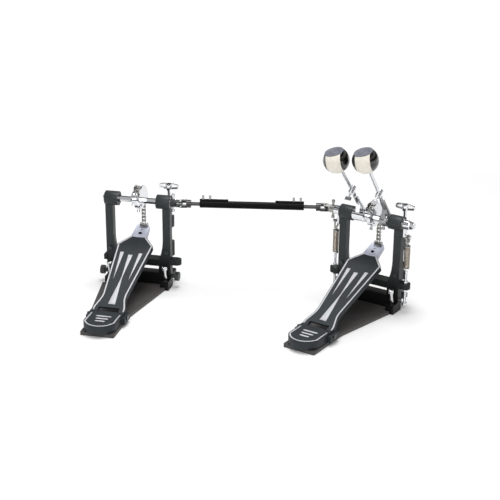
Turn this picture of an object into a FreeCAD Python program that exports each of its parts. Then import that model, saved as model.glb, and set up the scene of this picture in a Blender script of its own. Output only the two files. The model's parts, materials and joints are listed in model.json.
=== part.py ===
import FreeCAD, Part
import math
import os

# Double bass drum pedal: a main pedal, a slave pedal and the jointed drive shaft between them.
# Millimetres, +Z up, +Y towards the drum, +X to the drummer's right.
# The origin is on the floor, under the middle of the main pedal's axle.
V = FreeCAD.Vector

# Axle, bearings and posts, alike on both pedals
AXLE_Z = 195.0
AXLE_HEX = 11.0
JOURNAL_R = 6.0
HOUSING_R = 15.5
HOUSING_IN = 43.0
POST_OUT = 73.0
POST_W = 17.0
POST_D = 16.0
BEARING_R = 12.0
BEARING_W = 8.0
BEARING_INSET = 1.0
HOUSING_BORE_R = 8.0
RUN_FIT = 0.04
SLIDE_FIT = 0.3
OVER = 1.0
AXLE_END = 98.0
AXLE_NUT = 14.0
AXLE_NUT_T = 7.0
COLLAR_R = 9.0
COLLAR_T = 4.0

# Cross bar, lower body and foot lugs of the frame
BAR_TOP = 62.0
BAR_T = 15.0
BAR_REAR = -5.0
BAR_FRONT = 21.0
FLARE_TOP = 112.0
FLARE_IN = 10.0
BODY_REAR = -10.0
BODY_T = 9.0
BODY_TOP = 33.0
EAR_X = 85.0
EAR_R = 10.5
EAR_TOP = 66.0
EAR_T = 12.0
EAR_STUB = 6.0
LUG_REAR = -27.0
LUG_TOP = 20.0
LUG_W = 19.0

# Base plate, which ends in the lower jaw of the hoop clamp and flares further on the left
PLATE_T = 6.5
PLATE_BEHIND_HINGE = 69.4
PLATE_HEEL_W = 36.0
PLATE_RIGHT_BEND = 37.6
PLATE_RIGHT_W = 65.0
PLATE_LEFT_BEND = -44.4
PLATE_LEFT_W = 78.0
PLATE_STEP_GAP = 1.0
PLATE_TOE_W = 52.0
PLATE_TOE_Y = 44.0
PLATE_CORNER_R = 4.0
HOOP_SEAT_Y = 9.0
HOOP_SEAT_DROP = 0.5

# Heel plate and heel hinge
HINGE_TOP = 25.0
HINGE_DROP = 9.0
KNUCKLE_R = 8.5
TONGUE_W = 21.5
TONGUE_GAP = 1.0
PIN_R = 3.0
PIN_HEAD_R = 5.0
PIN_HEAD_T = 1.6
HEEL_W = 34.0
HEEL_CORNER_BACK = 50.4
HEEL_END_BACK = 76.4
HEEL_TOP_T = 4.0
HEEL_WALL = 3.5
HINGE_BLOCK_T = 7.0
HINGE_BLOCK_BACK = 16.0
HINGE_BLOCK_AHEAD = 18.0
HINGE_BLOCK_TOP = 20.0

# Footboard, measured along its slope from the hinge
BOARD_LEN = 270.0
BOARD_RISE = 22.0
BOARD_HEEL_W = 34.5
BOARD_WAIST_W = 25.5
BOARD_WAIST_AT = 44.0
BOARD_WAIST_R = 60.0
BOARD_SHOULDER_W = 39.5
BOARD_SHOULDER_BACK = 65.0
BOARD_SHOULDER_R = 5.0
BOARD_NECK_W = 17.5
BOARD_NECK_BACK = 39.0
BOARD_TIP_W = 14.0
BOARD_TIP_R = 2.0
BOARD_HEEL_R = 1.0
BOARD_CORNER_R = 12.0
BOARD_T = 4.0
BOARD_SKIRT = 11.0
BOARD_WALL = 2.6
NOTCH_DEPTH = 12.0
TOE_SAG = 4.0
TOE_SQUARE = 7.0
TOE_SQUARE_BACK = 27.0
TOE_DOT_R = 1.6
TOE_DOT_BACK = 16.0
TOE_POCKET = 2.2

# Chain, cam and chain clip
CHAIN_X = 3.0
CHAIN_R = 27.5
CHAIN_PITCH = 8.0
LINK_R = 3.2
LINK_T = 1.0
ROLLER_R = 2.4
ROLLER_W = 4.6
CHAIN_PIN_R = 1.3
CHAIN_PIN_OUT = 0.4
LINK_SINK = 0.1
LINK_WAIST = 0.78
CHAIN_LOWER_WRAP = 30.0
CHAIN_UPPER_FROM = 38.0
CHAIN_UPPER_LINKS = 5
CAM_RIM = 5.5
CAM_DRUM_DROP = 9.0
CAM_HUB_R = 13.0
CAM_PLATE_T = 2.6
CAM_GAP = 12.4
CAM_FROM = -14.0
CAM_TO = 185.0
CAM_KEY_AT = -110.0
STOP_R = 2.5
CLIP_W = 17.0
CLIP_T = 2.5
CLIP_LEN = 9.0
CLIP_EAR_T = 2.5
CLIP_RISE = 6.0
CLIP_PIN_BACK = 3.2
CLIP_EDGE = 1.0

# Hoop clamp: a tee rod in two bosses on the right post moves the upper jaw
CLAMP_X = 60.5
CLAMP_Y = 30.0
CLAMP_ROD_R = 4.0
BOSS_R = 11.0
BOSS_LOW = (63.0, 95.0)
BOSS_HIGH = (130.0, 154.0)
BOSS_WEB_W = 16.0
CLAMP_ROD_FOOT = 13.0
CLAMP_COLLAR_R = 7.0
CLAMP_COLLAR_T = 5.0
TEE_Z = 222.0
TEE_SPAN = 43.0
TEE_T = 5.0
TEE_ROOT_H = 13.0
TEE_TIP_H = 9.0
TEE_CORNER_R = 3.0
TEE_RIM = 3.0
TEE_HUB_BELOW = 8.0
TEE_HUB_ABOVE = 5.0
JAW_LEFT = -46.0
JAW_RIGHT = 72.0
JAW_REAR = 14.0
JAW_FRONT = 30.0
JAW_EAR_X = 48.0
JAW_EAR_FRONT = 44.0
JAW_LOW = 18.0
JAW_T = 8.0
JAW_REAR_R = 3.0
JAW_FRONT_R = 6.0

# Spurs, leaning with their points forward
SPUR_X = 63.0
SPUR_R = 4.0
SPUR_HEAD_R = 5.8
SPUR_HEAD_T = 7.0
SPUR_TOP = 53.0
SPUR_TIP = 2.5
SPUR_TIP_LEN = 7.0
SPUR_POINT_R = 0.6
SPUR_LEAN = 15.0
SPUR_FOOT_Y = -9.7

# Beaters, hubs and memory locks
BEATER_X = 30.0
MAIN_LEAN_DEG = 37.0
SLAVE_LEAN_DEG = 41.0
HEAD_LEAN_DEG = 14.5
HEAD_ROLL_DEG = 9.0
ROD_R = 4.0
ROD_OFFSET = 15.0
ROD_BELOW = 27.0
BALL_AT = 181.0
BALL_R = 27.0
BALL_FLAT = 18.5
DISC_R = 18.6
DISC_T = 1.5
ROD_IN_BALL = 12.0
HUB_R = 12.6
HUB_W = 16.0
HUB_NECK_LOW = -9.0
HUB_NECK_R = 6.6
HUB_NECK_TOP = 52.0
HUB_NECK_TOP_R = 5.2
HUB_WEB_W = 9.0
HUB_WEB_TOP = 26.0
HUB_WEB_IN = 3.0
HUB_WEB_BACK = 9.0
HUB_WEB_RISE = 8.0
LOCK_AT = 72.5
LOCK_R = 6.5
LOCK_BACK = 9.0
LOCK_FRONT = 8.0
LOCK_SCREW_R = 2.2
LOCK_SCREW_LEN = 20.0
LOCK_WING = (3.0, 13.0, 8.0)
LOCK_WING_IN = 2.0
SLEEVE_R = 13.5
SLEEVE_IN = -8.0
SLEEVE_OUT = -42.5
SLEEVE_SCREW_X = -17.0
SLEEVE_SCREW_AT = 112.0
HUB_KEY_AT = -110.0
PILOT_R = 5.0
PILOT_LEN = 24.0

# Spring cranks, springs and tension rods
CRANK_IN = 76.0
CRANK_HUB_W = 12.0
CRANK_HUB_R = 10.0
CRANK_ARM_T = 4.0
CRANK_ARM_W = 11.0
CRANK_THROW = 26.0
CRANK_PIN_R = 2.2
CRANK_BUSH_R = 4.2
CRANK_BUSH_T = 4.0
CRANK_BUSH_GAP = 1.5
WIRE_R = 0.9
COIL_R = 5.6
COIL_PITCH = 2.4
COIL_TURNS = 18
COIL_FOOT = 102.0
CAP_R = 6.5
CAP_T = 3.5
CAP_GAP = 0.3
EYE_T = 3.0
EYE_HALF_W = 5.0
EYE_RIM = 2.6
EYE_BELOW = 9.0
TENSION_R = 3.0
TENSION_FOOT = 16.0
TENSION_NUT = 10.0
TENSION_NUT_T = 5.0

# Slave pedal's place, drive shaft and universal joints
SLAVE_TURN = 20.5
SHAFT_TURN = 30.32
STROKE = 60.0
YOKE_SLAVE_X = 96.0
YOKE_MAIN_X = 111.0
YOKE_R = 8.6
YOKE_EAR_IN = 5.6
YOKE_EAR_W = 4.2
YOKE_CROTCH = 12.0
YOKE_HUB_LEN = 10.0
YOKE_KEY_TOP = 20.0
CROSS_R = 4.3
TRUNNION_R = 1.9
TRUNNION_FREE = 0.9
TUBE_R = 7.8
TUBE_BORE_R = 4.4
TUBE_FROM = 41.0
TUBE_LEN = 223.0
TUBE_TO = 47.7
STRIP_LEN = 61.0
STRIP_W = 7.0
STRIP_H = 3.0
DRIVE_HEX = 7.0
DRIVE_IN_TUBE = 75.0
SET_SCREW_R = 2.4
SET_SCREW_AT = (7.0, 22.0)
SET_SCREW_HEAD = 5.0
SET_SCREW_TOP = 19.0

# Screws
SCREW_R = 2.5
SCREW_HEAD_R = 4.5
SCREW_HEAD_T = 3.5
SCREW_LEN = 9.0
SCREW_END_GAP = 0.5
SCREW_RECESS = 0.5
POST_SCREW_Z = 82.0
BODY_SCREW_X = 40.0
KEY_SCREW_R = 2.4
KEY_HEAD_R = 3.6
KEY_HEAD_T = 5.0
KEY_STAND = 3.0
KEY_DEPTH = 6.0
SET_DEPTH = 5.0
SET_STAND = 0.8
HAND_SCREW_R = 10.0
HAND_SCREW_T = 9.0
HAND_SCREW_Z = 25.0
HAND_SCREW_NECK = 8.0
SIDE_SCREW_NECK = 3.0

# Places worked out from the sizes above
POST_IN = POST_OUT - POST_W
BAR_LOW = BAR_TOP - BAR_T
HINGE_BLOCK_OUT = BOARD_HEEL_W + SLIDE_FIT + HINGE_BLOCK_T
FLARE_X = POST_IN - FLARE_IN
EAR_LOW = EAR_TOP - EAR_T
HINGE_Z = HINGE_TOP - HINGE_DROP
RISE = math.radians(BOARD_RISE)
CHAIN_PIN_AT = BOARD_LEN - CLIP_PIN_BACK
HINGE_Y = CHAIN_R + CLIP_RISE * math.sin(RISE) - CHAIN_PIN_AT * math.cos(RISE)
BOARD_SHOULDER_AT = BOARD_LEN - BOARD_SHOULDER_BACK
BOARD_NECK_AT = BOARD_LEN - BOARD_NECK_BACK
CAM_R = CHAIN_R + CAM_RIM
CAM_DRUM_R = CHAIN_R - CAM_DRUM_DROP
CHAIN_PIN_Z = HINGE_TOP + CHAIN_PIN_AT * math.sin(RISE) + CLIP_RISE * math.cos(RISE)
COIL_TOP = COIL_FOOT + COIL_TURNS * COIL_PITCH
CRANK_PIN_Z = AXLE_Z - CRANK_THROW
JOINT_RIGHT = V(-YOKE_MAIN_X, 0, AXLE_Z)
SHAFT_DIR = V(math.cos(math.radians(SHAFT_TURN)), math.sin(math.radians(SHAFT_TURN)), 0)
JOINT_LEFT = JOINT_RIGHT - SHAFT_DIR * (TUBE_FROM + TUBE_LEN + TUBE_TO)
SLAVE_DIR = V(math.cos(math.radians(SLAVE_TURN)), math.sin(math.radians(SLAVE_TURN)), 0)
SLAVE_AT = JOINT_LEFT - SLAVE_DIR * YOKE_SLAVE_X - V(0, 0, AXLE_Z)
SLAVE_PLACE = FreeCAD.Placement(SLAVE_AT, FreeCAD.Rotation(V(0, 0, 1), SLAVE_TURN))

parts = {}


def box(x0, x1, y0, y1, z0, z1):
    return Part.makeBox(x1 - x0, y1 - y0, z1 - z0, V(x0, y0, z0))


def rod(radius, start, end):
    start, end = V(*start), V(*end)
    return Part.makeCylinder(radius, (end - start).Length, start, end - start)


def x_rod(radius, x0, x1, y=0.0, z=AXLE_Z):
    return rod(radius, (min(x0, x1), y, z), (max(x0, x1), y, z))


def ring(outer, inner, start, end):
    return rod(outer, start, end).cut(rod(inner, start, end))


def fuse(first, *others):
    joined = first.multiFuse(list(others)).removeSplitter()
    return joined.Solids[0] if len(joined.Solids) == 1 else joined


def mirror_x(shape):
    return shape.mirror(V(0, 0, 0), V(1, 0, 0))


def turned(shape, centre, axis, degrees):
    copy = shape.copy()
    copy.rotate(V(*centre), V(*axis), degrees)
    return copy


def hex_bar(across, start, end):
    """Hexagonal bar with flats facing up and down when it lies level."""
    start, end = V(*start), V(*end)
    along = (end - start).normalize()
    side = V(0, 0, 1).cross(along)
    side = side.normalize() if side.Length > 0.5 else V(0, 1, 0)
    up = along.cross(side)
    corner = across / math.sqrt(3)
    points = []
    for step in range(7):
        angle = math.radians(60 * step)
        points.append(start + side * (corner * math.cos(angle)) + up * (corner * math.sin(angle)))
    return Part.Face(Part.makePolygon(points)).extrude(end - start)


def rounded_face(corners):
    """Level face from (x, y, corner radius) points."""
    arcs = []
    for index, (x, y, radius) in enumerate(corners):
        here = V(x, y, 0)
        back = (V(*corners[index - 1][:2], 0) - here).normalize()
        ahead = (V(*corners[(index + 1) % len(corners)][:2], 0) - here).normalize()
        half = back.getAngle(ahead) / 2
        reach = radius / math.tan(half)
        middle = (back + ahead).normalize() * (radius / math.sin(half) - radius)
        arcs.append((here + back * reach, here + middle, here + ahead * reach, radius))
    edges = []
    for index, (start, middle, end, radius) in enumerate(arcs):
        if radius > 0:
            edges.append(Part.Arc(start, middle, end).toShape())
        edges.append(Part.LineSegment(end, arcs[(index + 1) % len(arcs)][0]).toShape())
    return Part.Face(Part.Wire(edges))


def slab(corners, z0, z1):
    face = rounded_face(corners)
    face.translate(V(0, 0, z0))
    return face.extrude(V(0, 0, z1 - z0))


def plate_side(bend, front_w):
    """One side of the base plate from above: heel, flare, step behind the foot lug and toe."""
    step = LUG_REAR - PLATE_STEP_GAP
    rear = HINGE_Y - PLATE_BEHIND_HINGE
    return [(PLATE_HEEL_W, rear, PLATE_CORNER_R), (PLATE_HEEL_W, HINGE_Y + bend, PLATE_CORNER_R),
            (front_w, step, 0.0), (PLATE_TOE_W, step, 0.0), (PLATE_TOE_W, PLATE_TOE_Y, PLATE_CORNER_R)]


def body_screw_feet():
    """Points on the floor under the two screws that join the base plate to the frame."""
    return [(side * BODY_SCREW_X, BODY_REAR + BODY_T / 2) for side in (-1, 1)]


def base_plate():
    right = plate_side(PLATE_RIGHT_BEND, PLATE_RIGHT_W)
    left = [(-x, y, r) for x, y, r in reversed(plate_side(PLATE_LEFT_BEND, PLATE_LEFT_W))]
    sheet = slab(right + left, 0, PLATE_T)
    seat_top = PLATE_T - HOOP_SEAT_DROP
    half = PLATE_TOE_W + OVER
    holes = [box(-half, half, HOOP_SEAT_Y, PLATE_TOE_Y + OVER, seat_top, PLATE_T + OVER)]
    for foot in body_screw_feet():
        holes.append(rod(SCREW_R + RUN_FIT, (*foot, -OVER), (*foot, PLATE_T + OVER)))
        holes.append(rod(SCREW_HEAD_R + RUN_FIT, (*foot, -OVER), (*foot, SCREW_RECESS + SCREW_HEAD_T)))
    return sheet.cut(Part.makeCompound(holes))


def post():
    """Right post: a straight upright whose inner edge flares into the cross bar, with its housing."""
    drop = FLARE_TOP - BAR_TOP
    flare_r = (drop ** 2 + FLARE_IN ** 2) / (2 * FLARE_IN)
    half = math.asin(drop / flare_r) / 2
    middle = V(POST_IN - flare_r * (1 - math.cos(half)), 0, FLARE_TOP - flare_r * math.sin(half))
    corners = [V(FLARE_X, 0, BAR_TOP), V(FLARE_X, 0, 0), V(POST_OUT, 0, 0), V(POST_OUT, 0, AXLE_Z),
               V(POST_IN, 0, AXLE_Z), V(POST_IN, 0, FLARE_TOP)]
    edges = [Part.makeLine(a, b) for a, b in zip(corners, corners[1:])]
    edges.append(Part.Arc(corners[-1], middle, corners[0]).toShape())
    upright = Part.Face(Part.Wire(edges)).extrude(V(0, POST_D, 0))
    upright.translate(V(0, -POST_D / 2, 0))
    ear = fuse(box(POST_OUT - OVER, EAR_X, -EAR_R, EAR_R, EAR_LOW, EAR_TOP),
               rod(EAR_R, (EAR_X, 0, EAR_LOW), (EAR_X, 0, EAR_TOP)))
    lug = box(POST_OUT - LUG_W, POST_OUT, LUG_REAR, POST_D / 2, 0, LUG_TOP)
    return fuse(upright, x_rod(HOUSING_R, HOUSING_IN, POST_OUT), ear, lug)


def post_bores():
    """What is cut from the right post: axle bore, bearing seat, spring rod hole, spur and screw holes."""
    seat = POST_OUT - BEARING_INSET - BEARING_W
    return Part.makeCompound([
        x_rod(HOUSING_BORE_R, HOUSING_IN - OVER, POST_OUT + OVER),
        x_rod(BEARING_R + RUN_FIT / 2, seat, POST_OUT + OVER),
        rod(TENSION_R + RUN_FIT, (EAR_X, 0, EAR_LOW - OVER), (EAR_X, 0, EAR_TOP + OVER)),
        spur_rod(SPUR_R + RUN_FIT, -SPUR_TOP, SPUR_TOP),
        rod(SCREW_R + RUN_FIT, (POST_IN + POST_W / 2, -POST_D / 2 - OVER, POST_SCREW_Z),
            (POST_IN + POST_W / 2, SCREW_LEN - POST_D / 2, POST_SCREW_Z)),
        x_rod(SCREW_R + RUN_FIT, POST_OUT - SCREW_LEN, POST_OUT + OVER, 0, HAND_SCREW_Z)])


def boss(low, high):
    """Boss on the front of the right post that guides the tee rod."""
    half = BOSS_WEB_W / 2
    return [rod(BOSS_R, (CLAMP_X, CLAMP_Y, low), (CLAMP_X, CLAMP_Y, high)),
            box(CLAMP_X - half, CLAMP_X + half, POST_D / 2 - OVER, CLAMP_Y, low, high)]


def frame(stub):
    """One casting: two posts with bearing housings, cross bar, lower body and tee rod bosses.

    With stub, the left ear ends just outside its post.
    """
    right = post()
    bar = box(-POST_IN, POST_IN, BAR_REAR, BAR_FRONT, BAR_LOW, BAR_TOP)
    body = box(-POST_IN, POST_IN, BODY_REAR, BODY_REAR + BODY_T, PLATE_T, BODY_TOP)
    toe_slot = box(-PLATE_TOE_W - OVER, PLATE_TOE_W + OVER, LUG_REAR - OVER, POST_D, -OVER, PLATE_T)
    solid = fuse(right, mirror_x(right), bar, body, *boss(*BOSS_LOW), *boss(*BOSS_HIGH)).cut(toe_slot)
    if stub:
        solid = solid.cut(box(-EAR_X - EAR_R - OVER, -POST_OUT - EAR_STUB, -EAR_R - OVER, EAR_R + OVER,
                              EAR_LOW - OVER, EAR_TOP + OVER))
    bores = post_bores()
    guide = rod(CLAMP_ROD_R + RUN_FIT, (CLAMP_X, CLAMP_Y, 0), (CLAMP_X, CLAMP_Y, AXLE_Z))
    screw_holes = [rod(SCREW_R + RUN_FIT, (*foot, 0), (*foot, PLATE_T + SCREW_LEN))
                   for foot in body_screw_feet()]
    return solid.cut(bores).cut(mirror_x(bores)).cut(guide).cut(Part.makeCompound(screw_holes))


def bearings():
    outer = POST_OUT - BEARING_INSET
    race = ring(BEARING_R, JOURNAL_R + RUN_FIT, (outer - BEARING_W, 0, AXLE_Z), (outer, 0, AXLE_Z))
    return Part.makeCompound([race, mirror_x(race)])


def cap_screw(seat, outward):
    """Round-headed screw whose head sits on the seat and whose shank goes in against outward."""
    seat, outward = V(*seat), V(*outward)
    return fuse(rod(SCREW_HEAD_R, seat, seat + outward * SCREW_HEAD_T),
                rod(SCREW_R, seat - outward * (SCREW_LEN - SCREW_END_GAP), seat))


def fasteners(hand_screws):
    """Post screws, the screws up through the base plate, and the side hand screws of the slave pedal."""
    x = POST_IN + POST_W / 2
    screws = [cap_screw((side * x, -POST_D / 2, POST_SCREW_Z), (0, -1, 0)) for side in (-1, 1)]
    for foot in body_screw_feet():
        seat = SCREW_RECESS + SCREW_HEAD_T
        screws.append(fuse(rod(SCREW_HEAD_R, (*foot, SCREW_RECESS), (*foot, seat)),
                           rod(SCREW_R, (*foot, seat), (*foot, PLATE_T + SCREW_LEN - SCREW_END_GAP))))
    for side in (-1, 1):
        neck = POST_OUT + (HAND_SCREW_NECK if hand_screws else SIDE_SCREW_NECK)
        head_r = HAND_SCREW_R if hand_screws else SCREW_HEAD_R
        head_t = HAND_SCREW_T if hand_screws else SCREW_HEAD_T
        screw = fuse(x_rod(SCREW_R, POST_OUT - SCREW_LEN + SCREW_END_GAP, neck, 0, HAND_SCREW_Z),
                     x_rod(SCREW_HEAD_R, POST_OUT, neck, 0, HAND_SCREW_Z),
                     x_rod(head_r, neck, neck + head_t, 0, HAND_SCREW_Z))
        screws.append(screw if side > 0 else mirror_x(screw))
    return Part.makeCompound(screws)


def heel_outline(inset):
    """Heel plate from above: straight sides and one round end."""
    half = HEEL_W - inset
    corner = HINGE_Y - HEEL_CORNER_BACK + inset / 2
    front = HINGE_Y + KNUCKLE_R
    start, end = V(half, corner, 0), V(-half, corner, 0)
    edges = [Part.Arc(start, V(0, HINGE_Y - HEEL_END_BACK + inset, 0), end).toShape(),
             Part.makeLine(end, V(-half, front, 0)),
             Part.makeLine(V(-half, front, 0), V(half, front, 0)),
             Part.makeLine(V(half, front, 0), start)]
    return Part.Face(Part.Wire(edges))


def heel_plate():
    """Hollow heel plate with the hinge's middle knuckle and a block for each end of its pin."""
    shell = heel_outline(0.0).extrude(V(0, 0, HINGE_TOP - PLATE_T))
    hollow = heel_outline(HEEL_WALL).extrude(V(0, 0, HINGE_TOP - PLATE_T - HEEL_TOP_T))
    shell.translate(V(0, 0, PLATE_T))
    hollow.translate(V(0, 0, PLATE_T))
    front = HINGE_Y + KNUCKLE_R
    behind = HINGE_Y - KNUCKLE_R - TONGUE_GAP
    reach = KNUCKLE_R + TONGUE_GAP
    room = [fuse(box(x0, x1, HINGE_Y, front + OVER, 0, HINGE_TOP + OVER),
                 box(x0, x1, behind, HINGE_Y, 0, HINGE_Z),
                 x_rod(reach, x0, x1, HINGE_Y, HINGE_Z))
            for x0, x1 in ((-HEEL_W - OVER, -TONGUE_W), (TONGUE_W, HEEL_W + OVER))]
    trim = box(-TONGUE_W - OVER, TONGUE_W + OVER, HINGE_Y, front + OVER, 0, HINGE_TOP + OVER)
    knuckle = fuse(x_rod(KNUCKLE_R, -TONGUE_W, TONGUE_W, HINGE_Y, HINGE_Z),
                   box(-TONGUE_W, TONGUE_W, behind - HEEL_WALL, HINGE_Y, PLATE_T, HINGE_Z))
    body = shell.cut(hollow).cut(Part.makeCompound(room)).cut(trim)
    side = box(HINGE_BLOCK_OUT - HINGE_BLOCK_T, HINGE_BLOCK_OUT, HINGE_Y - HINGE_BLOCK_BACK,
               HINGE_Y + HINGE_BLOCK_AHEAD, PLATE_T, HINGE_BLOCK_TOP)
    web = box(HEEL_W - HEEL_WALL, HINGE_BLOCK_OUT, HINGE_Y - HINGE_BLOCK_BACK, behind,
              PLATE_T, HINGE_BLOCK_TOP)
    block = fuse(side, web)
    bore = x_rod(PIN_R + RUN_FIT, -HINGE_BLOCK_OUT - OVER, HINGE_BLOCK_OUT + OVER, HINGE_Y, HINGE_Z)
    return fuse(body, knuckle, block, mirror_x(block)).cut(bore)


def hinge_pin():
    reach = HINGE_BLOCK_OUT + SLIDE_FIT
    pin = x_rod(PIN_R, -reach, reach, HINGE_Y, HINGE_Z)
    head = x_rod(PIN_HEAD_R, reach, reach + PIN_HEAD_T, HINGE_Y, HINGE_Z)
    return fuse(pin, head, mirror_x(head))


def to_slope(shape):
    """Lays a piece made flat, with its top at height 0 and the hinge at y 0, along the footboard's slope."""
    laid = shape.copy()
    laid.rotate(V(0, 0, 0), V(1, 0, 0), BOARD_RISE)
    laid.translate(V(0, HINGE_Y, HINGE_TOP))
    return laid


def board_outline(inset):
    """Whole footboard from above: heel, waist, shoulders, neck and tip."""
    right = [(BOARD_HEEL_W - inset, inset, BOARD_HEEL_R),
             (BOARD_HEEL_W - inset, NOTCH_DEPTH, BOARD_CORNER_R),
             (BOARD_WAIST_W - inset, BOARD_WAIST_AT, BOARD_WAIST_R),
             (BOARD_SHOULDER_W - inset, BOARD_SHOULDER_AT, BOARD_SHOULDER_R),
             (BOARD_NECK_W - inset, BOARD_NECK_AT, BOARD_SHOULDER_R),
             (BOARD_TIP_W - inset, BOARD_LEN - inset, BOARD_TIP_R)]
    return right + [(-x, y, r) for x, y, r in reversed(right)]


def board_shell():
    skin = slab(board_outline(0.0), -BOARD_SKIRT, 0)
    return skin.cut(slab(board_outline(BOARD_WALL), -BOARD_SKIRT - OVER, -BOARD_T))


def toe_zone():
    """Space of the bare toe, bounded by a shallow arc that sags towards the heel."""
    side = BOARD_SHOULDER_W
    start = V(-side, BOARD_NECK_AT + 2 * TOE_SAG, 0)
    end = V(side, BOARD_NECK_AT + 2 * TOE_SAG, 0)
    far = BOARD_LEN + 1
    edges = [Part.Arc(start, V(0, BOARD_NECK_AT - TOE_SAG / 2, 0), end).toShape(),
             Part.makeLine(end, V(side, far, 0)),
             Part.makeLine(V(side, far, 0), V(-side, far, 0)),
             Part.makeLine(V(-side, far, 0), start)]
    zone = Part.Face(Part.Wire(edges)).extrude(V(0, 0, BOARD_SKIRT + 2))
    zone.translate(V(0, 0, -BOARD_SKIRT - OVER))
    return zone


def pin_in_board():
    """Hinge pin's place, along and above the footboard laid flat."""
    return -HINGE_DROP * math.sin(RISE), -HINGE_DROP * math.cos(RISE)


def footboard():
    notch = box(-TONGUE_W - TONGUE_GAP, TONGUE_W + TONGUE_GAP, -OVER, NOTCH_DEPTH, -BOARD_SKIRT - OVER, OVER)
    along, above = pin_in_board()
    inner = TONGUE_W + TONGUE_GAP
    knuckles = []
    for side in (-1, 1):
        x0, x1 = sorted((side * inner, side * BOARD_HEEL_W))
        knuckles.append(x_rod(KNUCKLE_R, x0, x1, along, above))
        knuckles.append(box(x0, x1, along, NOTCH_DEPTH + BOARD_WALL, above, -BOARD_T / 2))
    flat = board_shell().cut(toe_zone()).cut(notch)
    bore = x_rod(PIN_R + RUN_FIT, -BOARD_HEEL_W - OVER, BOARD_HEEL_W + OVER, along, above)
    return to_slope(fuse(flat, *knuckles).cut(bore))


def toe_plate():
    """Bare metal toe with a square pocket and a small round one."""
    half = TOE_SQUARE / 2
    square_at = BOARD_LEN - TOE_SQUARE_BACK
    dot_at = BOARD_LEN - TOE_DOT_BACK
    square = box(-half, half, square_at - half, square_at + half, -TOE_POCKET, OVER)
    dot = rod(TOE_DOT_R, (0, dot_at, -TOE_POCKET), (0, dot_at, OVER))
    return to_slope(board_shell().common(toe_zone()).cut(square).cut(dot))


def chain_clip():
    """Clevis screwed on the toe, with the pin that carries the chain's last link."""
    half = CLIP_W / 2
    front = BOARD_LEN - CLIP_EDGE
    foot = box(CHAIN_X - half, CHAIN_X + half, front - CLIP_LEN, front, 0, CLIP_T)
    room = CAM_GAP / 2
    ears = []
    for side in (-1, 1):
        x0, x1 = sorted((CHAIN_X + side * room, CHAIN_X + side * (room + CLIP_EAR_T)))
        ears.append(box(x0, x1, CHAIN_PIN_AT - LINK_R, CHAIN_PIN_AT + LINK_R, 0, CLIP_RISE))
        ears.append(x_rod(LINK_R, x0, x1, CHAIN_PIN_AT, CLIP_RISE))
    reach = room + CLIP_EAR_T
    pin = x_rod(CHAIN_PIN_R, CHAIN_X - reach, CHAIN_X + reach, CHAIN_PIN_AT, CLIP_RISE)
    return to_slope(fuse(foot, *ears, pin))


def chain_strip(joints, open_first):
    """Roller chain through joints in the plane of the cam: rollers, pins and overlapping side plates."""
    pieces = []
    for index, (y, z) in enumerate(joints):
        if index > 0 or not open_first:
            pieces.append(x_rod(ROLLER_R, CHAIN_X - ROLLER_W / 2, CHAIN_X + ROLLER_W / 2, y, z))
            reach = ROLLER_W / 2 + 2 * LINK_T + CHAIN_PIN_OUT
            pieces.append(x_rod(CHAIN_PIN_R, CHAIN_X - reach, CHAIN_X + reach, y, z))
    for index, ((y0, z0), (y1, z1)) in enumerate(zip(joints, joints[1:])):
        inner = ROLLER_W / 2 + (index % 2) * LINK_T - LINK_SINK
        along = V(0, y1 - y0, z1 - z0).normalize()
        side = along.cross(V(1, 0, 0)) * (LINK_R * LINK_WAIST)
        for sign in (-1, 1):
            x0, x1 = sorted((CHAIN_X + sign * inner, CHAIN_X + sign * (inner + LINK_T + LINK_SINK)))
            start, end = V(x0, y0, z0), V(x0, y1, z1)
            waist = [start + side, end + side, end - side, start - side, start + side]
            pieces.append(Part.Face(Part.makePolygon(waist)).extrude(V(x1 - x0, 0, 0)))
            pieces.append(x_rod(LINK_R, x0, x1, y0, z0))
            pieces.append(x_rod(LINK_R, x0, x1, y1, z1))
    strip = fuse(*pieces)
    if open_first:
        reach = CAM_GAP / 2
        strip = strip.cut(x_rod(CHAIN_PIN_R + RUN_FIT, CHAIN_X - reach, CHAIN_X + reach, *joints[0]))
    return strip


def around(radius, degrees):
    """Y and Z of a point round the axle; 0 degrees is level with it on the drum side, 90 is above it."""
    angle = math.radians(degrees)
    return radius * math.cos(angle), AXLE_Z + radius * math.sin(angle)


def upper_angles():
    """Angles of the chain's joints that stay on the cam."""
    step = math.degrees(2 * math.asin(CHAIN_PITCH / 2 / CHAIN_R))
    first = CHAIN_UPPER_FROM + math.degrees(LINK_R / CHAIN_R)
    return [first + step * index for index in range(CHAIN_UPPER_LINKS + 1)]


def chain_lower():
    """Hanging run from the clip up to the cam and the first of the wrap."""
    straight = AXLE_Z - CHAIN_PIN_Z
    count = round(straight / CHAIN_PITCH)
    joints = [(CHAIN_R, CHAIN_PIN_Z + straight * step / count) for step in range(count + 1)]
    wrap = max(1, round(math.radians(CHAIN_LOWER_WRAP) * CHAIN_R / CHAIN_PITCH))
    joints += [around(CHAIN_R, CHAIN_LOWER_WRAP * step / wrap) for step in range(1, wrap + 1)]
    return chain_strip(joints, True)


def chain_upper():
    """Run that stays on the cam, up to the pin that stops it."""
    return chain_strip([around(CHAIN_R, angle) for angle in upper_angles()], False)


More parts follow.
